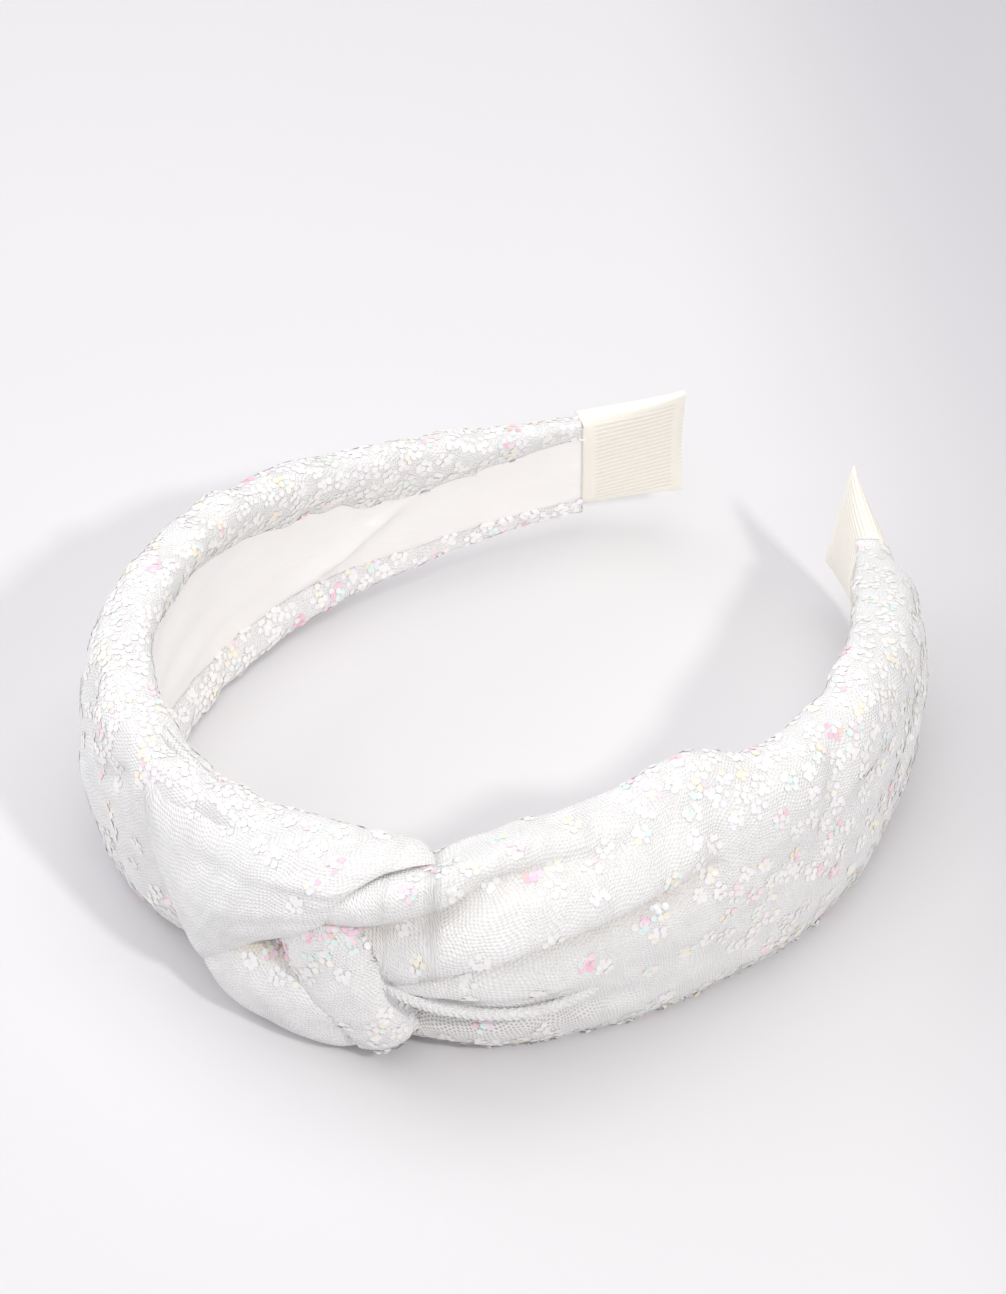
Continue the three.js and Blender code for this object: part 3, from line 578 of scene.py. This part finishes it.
# d, z to d, z, depth and half width; then where its rosettes of sequins lie
LOBE_CREASES = [(12, 42, -4, 35.4, 1, 1.5), (-4, 35.4, -25, 31, 0.7, 1.9), (-38, 31, -28, 13, 1.1, 2.2),
                (2, 38, -12, 26, 0.7, 1.6)]
LOBE_ROSETTES = [(-10.5, 40), (-7, 35.5), (-25, 38), (-17, 41), (-4.5, 39), (-31, 33)]
LOBE_ROSY = [(-1, 41.5), (-8, 30)]
COLUMNS = 96
UNDER_LOOP = np.array([
    (0, -24.8, 7.3, 8.5, 5.2, 5.1, 0), (0.2, -20, 8.6, 10.5, 15.5, 8.5, 1.4),
    (0.55, -9.6, 9.5, 11.2, 19.8, 9.5, 1.7), (0.85, 0, 8.6, 10.9, 17.2, 8.5, 1.4),
    (1, 5.6, 7.7, 8.5, 10.3, 4.3, 0),
])
STRAP = np.array([
    (0, -5, 31, 9, 15, 1.6, 0), (0.15, -3, 26.5, 12.6, 16, 1.8, 0.7), (0.5, 1.8, 17.5, 15.4, 14.6, 1.6, 1),
    (0.85, 5.4, 10, 15.1, 12, 1.4, 1), (1, 7.2, 5.4, 14.2, 11, 1.1, 0.9),
])
TWILL_LINES = 38
THIN_ROLL = np.array([
    (0, 5.6, 19.6, 12.4, 1.5, 1.8, 0), (0.1, 9, 19, 14.8, 1.8, 2, 0), (0.3, 15, 17.4, 16, 1.9, 2.1, 0),
    (0.55, 24.5, 16, 16.4, 1.9, 2.1, 0), (0.75, 32, 17, 15.8, 1.8, 2, 0), (1, 41, 19.6, 13.6, 0.9, 1.2, 0),
])


def swept(name, rows, count, sides, dent=None, square=0.85, ragged=0, **shares):
    """A soft closed form along a path of (d, z, n) with its width, thickness and bow; a ragged
    one has frayed sides and a frayed far end"""
    t = np.linspace(0, 1, count)
    d, z, n, wide, thick, bow = np.moveaxis(eased(rows, t), -1, 0)
    close = np.sqrt(np.clip(1 - (1 - np.clip(np.minimum(t, 1 - t) / 0.03, 0, 1)) ** 2, 0.0004, 1))
    wide, thick = wide * close, thick * close
    centre = place(d, n, z)
    heading = np.gradient(centre, axis=0)
    heading /= np.linalg.norm(heading, axis=-1, keepdims=True)
    out = place(d, n + 1, z) - centre
    over = np.cross(out, heading)
    over /= np.linalg.norm(over, axis=-1, keepdims=True)
    out = np.cross(heading, over)
    angle = np.linspace(0, 2 * np.pi, sides, endpoint=False)[None, :]
    x = np.sign(np.cos(angle)) * np.abs(np.cos(angle)) ** square
    y = np.sin(angle) + 0 * x
    fray = np.random.default_rng(45).uniform(-0.3, 1, (3, max(count, sides)))
    edges = np.where(x > 0, fray[0, :count, None], fray[1, :count, None]) * x**9
    px, py = x * wide[:, None] / 2 + ragged * edges, y * thick[:, None] / 2 - bow[:, None] * x * x
    if dent is not None:
        py = py + dent(t[:, None], x, y) * close[:, None]
    rings = centre[:, None] + ((px - ragged * edges)[..., None] * over[:, None]
                               + py[..., None] * out[:, None]) * MM
    v = lengths(np.concatenate([rings, rings[:, :1]], 1), 1)
    rings = rings + ragged * edges[..., None] * over[:, None] * MM
    tail = ragged * 1.6 * fray[2, :sides] * np.clip((t[:, None] - 0.955) / 0.045, 0, 1)
    rings = rings + tail[..., None] * heading[:, None] * MM
    rings[..., 2] = np.maximum(rings[..., 2], 0.02 * MM)
    u = lengths(centre, 0)[:, None]
    v = v * (v[:, -1:].mean() / np.maximum(v[:, -1:], 1e-6)) if square == 1 else v
    shares = {k: f(t[:, None], x + 0 * t[:, None], y + 0 * t[:, None]) for k, f in shares.items()}
    return shell(name, rings, u, v, **shares)


d = steps(-41, 13, 0.45)[:, None]
low, edge, crown = (x[:, None] for x in np.moveaxis(eased(LOBE_EDGE, d[:, 0]), -1, 0))
high = eased(LOBE_TOP, d[:, 0])
tall = np.maximum(high - low, 0.5)
fat = np.clip(tall / 26, 0.12, 1)
deep_fold = np.maximum(fat, 0.9 * np.clip((d + 14) / 8, 0, 1))
# across the lobe from under its lower fold, over its crown and the band's top edge, to the inside:
# distance out as a share from the edge to the crown, then mm; height as a share, then mm
skin_n = np.concatenate([
    edge - 4.6 * deep_fold, edge - 2.4 * deep_fold, edge - 0.2, edge + 0.55 * (crown - edge),
    edge + 0.9 * (crown - edge), crown, crown - 0.12 * (crown - 1), crown - 0.42 * (crown - 1), 1.5 + 0 * d,
    -1.6 + 0 * d, -2.6 + 0 * d, -0.6 + 0 * d], 1)
skin_z = np.concatenate([
    low + 3 * fat, low + 0.5 * fat, low, low + 0.1 * tall, low + 0.26 * tall, low + 0.46 * tall,
    low + 0.72 * tall, low + 0.92 * tall, high, high - 0.7, high - 3.5, high - 7], 1)
run = np.concatenate([0 * d, np.cumsum(np.hypot(np.diff(skin_n), np.diff(skin_z)), 1)], 1)
share = run / run[:, -1:]
even = np.linspace(0, 1, COLUMNS)
skin_n = np.stack([np.interp(even, k, row) for k, row in zip(share, skin_n)])
skin_z = np.stack([np.interp(even, k, row) for k, row in zip(share, skin_z)])
for _ in range(24):
    for values in (skin_n, skin_z):
        values[:, 1:-1] = (values[:, :-2] + 2 * values[:, 1:-1] + values[:, 2:]) / 4
on_face = np.clip(np.sin(np.pi * np.clip((even - 0.12) / 0.7, 0, 1)), 0, 1)[None, :]
# drag lines fan from the notch at the lobe's narrow end
fan = np.arctan2(skin_z - 43, 20 - d)
gather = 0.5 * np.cos(34 * fan + 1) + 0.5 * np.cos(61 * fan)
pull = np.clip((d + 26) / 34, 0, 1) * np.clip((12 - d) / 8, 0, 1)
dd = d + 0 * skin_z
skin_n = skin_n - on_face * creased(dd, skin_z, LOBE_CREASES)
soft = 0.34 * waves(dd, skin_z, 17, 41) + 0.1 * waves(dd, skin_z, 6, 42)
skin_n = skin_n + on_face * (0.5 * gather * pull + soft)
back_n = np.concatenate([-0.4 + 0 * d, 0.5 + 0 * d, 0.5 + 0 * d], 1)
back_z = np.concatenate([high - 5, high - 4, low + 0.6 * tall], 1)
# the narrow end is drawn in round
closed = np.sqrt(np.clip(1 - np.clip((d - 9) / 4, 0, 1) ** 2, 0.002, 1))
skin_n = 2.5 + (skin_n - 2.5) * closed
skin_z, back_z = high - 1.6 + (skin_z - high + 1.6) * closed, high - 1.6 + (back_z - high + 1.6) * closed
rings = place(d, np.concatenate([skin_n, back_n], 1), np.maximum(np.concatenate([skin_z, back_z], 1), 0.1))
v = lengths(np.concatenate([rings, rings[:, :1]], 1), 1)
v = v - v[:, 60:61]
seen = np.concatenate([np.clip((even - 0.1) / 0.05, 0, 1)[None, :] + 0 * d, 0 * back_n], 1)
top_edge = np.concatenate([np.exp(-(((even - 0.79) / 0.1) ** 4))[None, :] + 0 * d, 0 * back_n], 1)
on_lobe = np.concatenate([skin_z, 0 * back_z], 1)
dense = np.clip(0.03 + top_edge + spots(d, on_lobe, LOBE_ROSETTES + LOBE_ROSY), 0, 1)
# painted shade under the lobe's lower folded edge
under_fold_shade = np.clip(1 - even / 0.1, 0, 1)[None, :] * 0.8 * np.clip((d + 34) / 6, 0, 1)
lobe = shell("smooth_lobe", rings, 1.1 * d, v, sequins=dense * seen,
             rosy=spots(d, on_lobe, LOBE_ROSY, 3) * seen,
             crevice=np.concatenate([under_fold_shade, 0 * back_n], 1))
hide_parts("left_lobe")
# painted shade along one side edge of the narrow loop
under_loop = swept("narrow_loop", UNDER_LOOP, 90, 80,
                   lambda t, x, y: 0.3 * waves(t * 34, x * 9, 10, 43),
                   sequins=lambda t, x, y: 0.05 + 0 * x + 0.95 * (x > 0.45) * (t < 0.75),
                   crevice=lambda t, x, y: np.clip(x * 3 - 2, 0, 1) * 0.8)
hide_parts("under_loop")
strap = swept("flat_strap", STRAP, 110, 90,
              lambda t, x, y: 0.2 * waves(t * 30, x * 8, 8, 44) - (1.2 + 2.2 * t) * np.clip(x, 0, 1) ** 2,
              square=0.4, ragged=0.7,
              sequins=lambda t, x, y: np.clip(
                  0.12 + 2 * (t > 0.72) + 0.5 * (t < 0.35) + 0.6 * (x**6 > 0.4), 0, 1) + 0 * x,
              rosy=lambda t, x, y: np.clip(1.6 - 3 * t, 0, 1) + 0 * x,
              crevice=lambda t, x, y: 0 * x)
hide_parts("knot_strap")
roll = swept("thin_rolled_fold", THIN_ROLL, 220, 24,
             lambda t, x, y: 0.16 * np.sin(2 * np.pi * (t * TWILL_LINES + 0.8 * x)),
             square=1.0, sequins=lambda t, x, y: 0 * x, crevice=lambda t, x, y: 0 * x)
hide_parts("thin_roll")
for piece, fill in ((lobe, 0.6), (under_loop, 0.5), (strap, 0.2), (roll, 0.6)):
    piece.data.materials.append(net)
    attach(piece, "root")

# The ends: cream grosgrain ribbon wrapped round the bare band ends and glued, with a plain
# selvedge along its edges and fine ribs between them that run along the band.
RIBBON_WIDTH = 24
RIBBON_THICK, RIBBON_PINCH = 7.5, 1.6
RIGHT_FULLER, RIGHT_SLOWER = 1.15, 1.3
LEFT_QUICKER = 0.85
FLARE, BORDER = 1.5, 1.9
RIB_GROOVE_SHADE, RIB_CREST_LIGHT = "#EFE8D9", "#FFFCF4"
# Grosgrain: closely ribbed ribbon, matt; the real ribs are 0.7 mm apart
RIB_SPACING = 0.95  # mm, a little coarse so that they show
grosgrain, tree, shader = surface("ribbed_grosgrain", Roughness=0.7, Sheen_Weight=0.3)
coordinate = node(tree, "ShaderNodeUVMap", uv_map="cloth_mm").outputs["UV"]
parts = node(tree, "ShaderNodeSeparateXYZ", {0: coordinate})
phase = node(tree, "ShaderNodeMath", {0: parts.outputs["Y"], 1: 2 * math.pi / RIB_SPACING},
             operation="MULTIPLY")
rib = node(tree, "ShaderNodeMath", {0: phase.outputs[0]}, operation="SINE")
plain = node(tree, "ShaderNodeAttribute", attribute_name="border")
ribbed = node(tree, "ShaderNodeMath", {0: 1.0, 1: plain.outputs["Fac"]}, operation="SUBTRACT")
shown = node(tree, "ShaderNodeMath", {0: rib.outputs[0], 1: ribbed.outputs[0]}, operation="MULTIPLY")
weft = node(tree, "ShaderNodeTexNoise", {"Scale": 0.9, "Detail": 1, "Vector": coordinate})
rise_of = node(tree, "ShaderNodeMath", {0: weft.outputs["Fac"], 1: shown.outputs[0]}, operation="ADD")
# painted shade: the rib grooves are coloured darker and the crests lighter, following the ribs' relief
rib_tone = node(tree, "ShaderNodeMapRange", {0: shown.outputs[0], 1: -1.0, 2: 0.4})
rib_colour = node(tree, "ShaderNodeMix", {0: rib_tone.outputs[0], 6: linear(RIB_GROOVE_SHADE), 7: linear(RIB_CREST_LIGHT)},
                  data_type="RGBA")
tree.links.new(rib_colour.outputs[2], shader.inputs["Base Color"])
relief = node(tree, "ShaderNodeBump", {"Strength": 0.5, "Distance": 0.1 * MM, "Height": rise_of.outputs[0]})
tree.links.new(relief.outputs["Normal"], shader.inputs["Normal"])
# the left end's folded edges are plain; on the right one the ribs run on round its full, rounder sides
for name, joint, end, twist, (near, far), wrapped in (
        ("left_ribbon_end", LEFT_JOINT, LEFT_END, 0, (0.7, 0.2), 0),
        ("right_ribbon_end", RIGHT_JOINT, RIGHT_END, 10, (1.0, 0.8), RIBBON_WIDTH)):
    t = np.linspace(0, 1, 60)[:, None]
    full = RIBBON_THICK * (RIGHT_FULLER if wrapped else 1)
    thick = full + (RIBBON_PINCH - full) * t ** (RIGHT_SLOWER if wrapped else LEFT_QUICKER)
    half = RIBBON_WIDTH / 2 * (0.89 + 0.04 * t + 0.07 * t**4)
    middle = MIDDLE_HEIGHT - 3.2 * (1 - t)
    angle = np.linspace(0, 2 * np.pi, 150, endpoint=False)[None, :]
    square = near + (far - near) * t
    n = thick / 2 * (np.sign(np.cos(angle)) * np.abs(np.cos(angle)) ** square + 1) - LINING_THICK / 2
    z = middle + half * np.sign(np.sin(angle)) * np.abs(np.sin(angle)) ** square
    lean, up = np.radians(twist) * t**1.5, z - MIDDLE_HEIGHT
    n, z = n * np.cos(lean) + up * np.sin(lean), MIDDLE_HEIGHT + up * np.cos(lean) - n * np.sin(lean)
    corner = np.abs((z - middle) / half) ** 3 * t**6 * FLARE / END_LENGTH - FLARE / END_LENGTH * t**6
    rings = place(joint + (end - joint) * (t + corner), n, z)
    u = t * END_LENGTH
    v = lengths(np.concatenate([rings, rings[:, :1]], 1), 1)
    v = v / v[:, -1:] * v[:1, -1:]
    from_edge = np.minimum(np.minimum(t * 0.7, 1 - t) * END_LENGTH, half - np.abs(z - middle) + 0.4 + wrapped)
    border = np.clip((BORDER - from_edge) / 0.3, 0, 1)
    cap = shell(name + "_cloth", rings, u, v, border=border)
    cap.data.materials.append(grosgrain)
    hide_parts(name)
    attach(cap, "root")

# The sequins: thin discs a millimetre and a third across, stamped from pearl film and glued on the
# net in little rosettes of six round one. Most look white; some flash pink, salmon, yellow or mint.
SEQUIN_ACROSS = 1.3
SEQUIN_RIM = (0.05, 0.02)  # mm, height of its upper and lower edge
SEQUIN_MIDDLE = (0.01, -0.02)
ROSETTE_ACROSS = 2.5
FACETS = 7
angle = np.arange(FACETS) * 2 * np.pi / FACETS
circle = np.stack([np.cos(angle), np.sin(angle)], -1) * SEQUIN_ACROSS / 2 * MM
points = np.vstack([np.c_[circle, np.full(FACETS, rim * MM)] for rim in SEQUIN_RIM]
                   + [[[0, 0, hub * MM]] for hub in SEQUIN_MIDDLE])
k = np.arange(FACETS)
faces = ([[a, (a + 1) % FACETS, 2 * FACETS] for a in range(FACETS)]
         + [[FACETS + a, FACETS + (a + 1) % FACETS, (a + 1) % FACETS, a] for a in range(FACETS)]
         + [[FACETS + (a + 1) % FACETS, FACETS + a, 2 * FACETS + 1] for a in range(FACETS)])
disc_mesh = bpy.data.meshes.new("sequin")
disc_mesh.from_pydata(points.tolist(), [], faces)
disc = bpy.data.objects.new("sequin", disc_mesh)
# Pearl polyester film: glossy, with thin-film colours that pale at the edge of sight; each sequin
# keeps one tint of its own
pearl, tree, shader = surface("pearl_film", Roughness=0.28, Specular_IOR_Level=0.35,
                              Sheen_Weight=0.45, Sheen_Roughness=0.4)
shader.inputs["Thin Film Thickness"].default_value = 380
shader.inputs["Thin Film IOR"].default_value = 1.5
kept = node(tree, "ShaderNodeAttribute", attribute_name="tint")
shades = node(tree, "ShaderNodeValToRGB", {"Fac": kept.outputs["Fac"]})
shades.color_ramp.interpolation = "CONSTANT"
stops = [(0, "#FFFFFE"), (0.3, "#FDFEFD"), (0.5, "#FDFCFE"), (0.68, "#FFFEF4"), (0.74, "#FFFAE6"),
         (0.77, "#F4FDFB"), (0.8, "#EAFCF9"), (0.83, "#FFF8FA"), (0.88, "#FFEAF2"), (0.925, "#FFDAE9"),
         (0.962, "#FFCFE2"), (0.985, "#FFDDD4")]
while len(shades.color_ramp.elements) < len(stops):
    shades.color_ramp.elements.new(0.99)
for element, (at, colour) in zip(shades.color_ramp.elements, stops):
    element.position, element.color = at, linear(colour)
tree.links.new(shades.outputs["Color"], shader.inputs["Base Color"])

rosettes = bpy.data.node_groups.new("sequin_rosettes", "GeometryNodeTree")
INPUTS = {"Cloth": "NodeSocketGeometry", "Spacing": "NodeSocketFloat", "Rosette Across": "NodeSocketFloat",
          "Seed": "NodeSocketInt", "Sequin": "NodeSocketObject", "Film": "NodeSocketMaterial"}
for name, kind in INPUTS.items():
    rosettes.interface.new_socket(name, in_out="INPUT", socket_type=kind)
rosettes.interface.new_socket("Sequins", in_out="OUTPUT", socket_type="NodeSocketGeometry")
given = node(rosettes, "NodeGroupInput").outputs
share = node(rosettes, "GeometryNodeInputNamedAttribute", {"Name": "sequins"}, data_type="FLOAT")
spread = node(rosettes, "GeometryNodeDistributePointsOnFaces", {
    "Mesh": given["Cloth"], "Distance Min": given["Spacing"], "Density Max": 600000.0,
    "Density Factor": share.outputs[0], "Seed": given["Seed"]}, distribute_method="POISSON")
radius = node(rosettes, "ShaderNodeMath", {0: given["Rosette Across"], 1: 0.5}, operation="MULTIPLY")
ring = node(rosettes, "GeometryNodeMeshCircle", {"Vertices": 6, "Radius": radius.outputs[0]},
            fill_type="TRIANGLE_FAN")
spin = node(rosettes, "FunctionNodeRandomValue", {"Max": (0, 0, 6.28), "Seed": given["Seed"]},
            data_type="FLOAT_VECTOR")
spun = node(rosettes, "FunctionNodeEulerToRotation", {0: spin.outputs[0]})
turned = node(rosettes, "FunctionNodeRotateRotation", {
    "Rotation": spread.outputs["Rotation"], "Rotate By": spun.outputs[0]}, rotation_space="LOCAL")
size = node(rosettes, "FunctionNodeRandomValue", {2: 0.85, 3: 1.12, "Seed": given["Seed"]}, data_type="FLOAT")
kin = node(rosettes, "FunctionNodeRandomValue", {2: 0.0, 3: 0.94, "Seed": 19}, data_type="FLOAT")
rosy = node(rosettes, "GeometryNodeInputNamedAttribute", {"Name": "rosy"}, data_type="FLOAT")
blush = node(rosettes, "ShaderNodeMix", {0: rosy.outputs[0], 2: kin.outputs[1], 3: 0.93}, data_type="FLOAT")
alike = node(rosettes, "GeometryNodeStoreNamedAttribute", {
    "Geometry": spread.outputs["Points"], "Name": "kin", "Value": blush.outputs[0]},
    data_type="FLOAT", domain="POINT")
flowers = node(rosettes, "GeometryNodeInstanceOnPoints", {
    "Points": alike.outputs[0], "Instance": ring.outputs["Mesh"], "Rotation": turned.outputs[0],
    "Scale": size.outputs[1]})
joined = node(rosettes, "GeometryNodeRealizeInstances", {0: flowers.outputs[0]})
seats = node(rosettes, "GeometryNodeMeshToPoints", {"Mesh": joined.outputs[0]})
# each sequin strays a little, is laid back on the cloth and lies a little above it, and a few are lost
STRAY, TILT, LOST = 0.34 * MM, 0.08, 0.05
stray = node(rosettes, "FunctionNodeRandomValue", {
    "Min": (-STRAY,) * 3, "Max": (STRAY,) * 3, "Seed": 5,
    "ID": node(rosettes, "GeometryNodeInputIndex").outputs[0]}, data_type="FLOAT_VECTOR")
moved = node(rosettes, "GeometryNodeSetPosition", {"Geometry": seats.outputs[0], "Offset": stray.outputs[0]})
where = node(rosettes, "GeometryNodeInputPosition")
nearest = node(rosettes, "GeometryNodeSampleNearestSurface", {
    "Mesh": given["Cloth"], "Value": where.outputs[0]}, data_type="FLOAT_VECTOR")
normal = node(rosettes, "GeometryNodeSampleNearestSurface", {
    "Mesh": given["Cloth"], "Value": node(rosettes, "GeometryNodeInputNormal").outputs[0]},
    data_type="FLOAT_VECTOR")
stack = node(rosettes, "FunctionNodeRandomValue", {2: 0.025 * MM, 3: 0.1 * MM, "Seed": 7}, data_type="FLOAT")
lift = node(rosettes, "ShaderNodeVectorMath", {0: normal.outputs[0], "Scale": stack.outputs[1]},
            operation="SCALE")
seat = node(rosettes, "ShaderNodeVectorMath", {0: nearest.outputs[0], 1: lift.outputs[0]}, operation="ADD")
held = node(rosettes, "GeometryNodeStoreNamedAttribute", {
    "Geometry": moved.outputs[0], "Name": "facing", "Value": normal.outputs[0]},
    data_type="FLOAT_VECTOR", domain="POINT")
snapped = node(rosettes, "GeometryNodeSetPosition", {
    "Geometry": held.outputs[0], "Position": seat.outputs[0]})
few = node(rosettes, "FunctionNodeRandomValue", {"Probability": LOST, "Seed": 9}, data_type="BOOLEAN")
thinned = node(rosettes, "GeometryNodeDeleteGeometry", {
    "Geometry": snapped.outputs[0], "Selection": few.outputs[3]}, domain="POINT")
facing = node(rosettes, "GeometryNodeInputNamedAttribute", {"Name": "facing"}, data_type="FLOAT_VECTOR")
rock = node(rosettes, "FunctionNodeRandomValue", {"Min": (-TILT,) * 3, "Max": (TILT,) * 3, "Seed": 11},
            data_type="FLOAT_VECTOR")
tipped = node(rosettes, "ShaderNodeVectorMath", {0: facing.outputs[0], 1: rock.outputs[0]}, operation="ADD")
stand = node(rosettes, "FunctionNodeAlignRotationToVector", {"Vector": tipped.outputs[0]}, axis="Z")
grown = node(rosettes, "FunctionNodeRandomValue", {2: 0.82, 3: 1.12, "Seed": 13}, data_type="FLOAT")
template = node(rosettes, "GeometryNodeObjectInfo", {"Object": given["Sequin"]})
placed = node(rosettes, "GeometryNodeInstanceOnPoints", {
    "Points": thinned.outputs[0], "Instance": template.outputs["Geometry"], "Rotation": stand.outputs[0],
    "Scale": grown.outputs[1]})
# the sequins of a rosette are of one kin, and each differs from it by a little of its own
own = node(rosettes, "FunctionNodeRandomValue", {2: -0.13, 3: 0.07, "Seed": 17}, data_type="FLOAT")
kept_kin = node(rosettes, "GeometryNodeInputNamedAttribute", {"Name": "kin"}, data_type="FLOAT")
shade_of = node(rosettes, "ShaderNodeMath", {0: own.outputs[1], 1: kept_kin.outputs[0]}, operation="ADD")
tinted = node(rosettes, "GeometryNodeStoreNamedAttribute", {
    "Geometry": placed.outputs[0], "Name": "tint", "Value": shade_of.outputs[0]},
    data_type="FLOAT", domain="INSTANCE")
whole = node(rosettes, "GeometryNodeRealizeInstances", {0: tinted.outputs[0]})
finished = node(rosettes, "GeometryNodeSetMaterial", {
    "Geometry": whole.outputs[0], "Material": given["Film"]})
rosettes.links.new(finished.outputs[0], node(rosettes, "NodeGroupOutput").inputs[0])

# mm between the middles of neighbouring rosettes, at the least, on each cloth
ROSETTE_SPACING = ((left_arm, 3.1), (right_arm, 3.5), (lobe, 4.2), (under_loop, 3.7), (strap, 3.0))
for seed, (cloth, spacing) in enumerate(ROSETTE_SPACING):
    glued = bpy.data.objects.new(cloth.name + "_sequins", cloth.data)
    scene.collection.objects.link(glued)
    worked = glued.modifiers.new("sequins", "NODES")
    worked.node_group = rosettes
    named = {item.name: item.identifier for item in rosettes.interface.items_tree if item.in_out == "INPUT"}
    for key, value in (("Spacing", spacing * MM), ("Rosette Across", ROSETTE_ACROSS * MM),
                       ("Seed", seed + 1), ("Sequin", disc), ("Film", pearl)):
        worked[named[key]] = value
    view_layer = bpy.context.evaluated_depsgraph_get()
    made = bpy.data.meshes.new_from_object(glued.evaluated_get(view_layer), depsgraph=view_layer)
    glued.modifiers.remove(worked)
    made.name = glued.name
    glued.data = made
    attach(glued, "root")
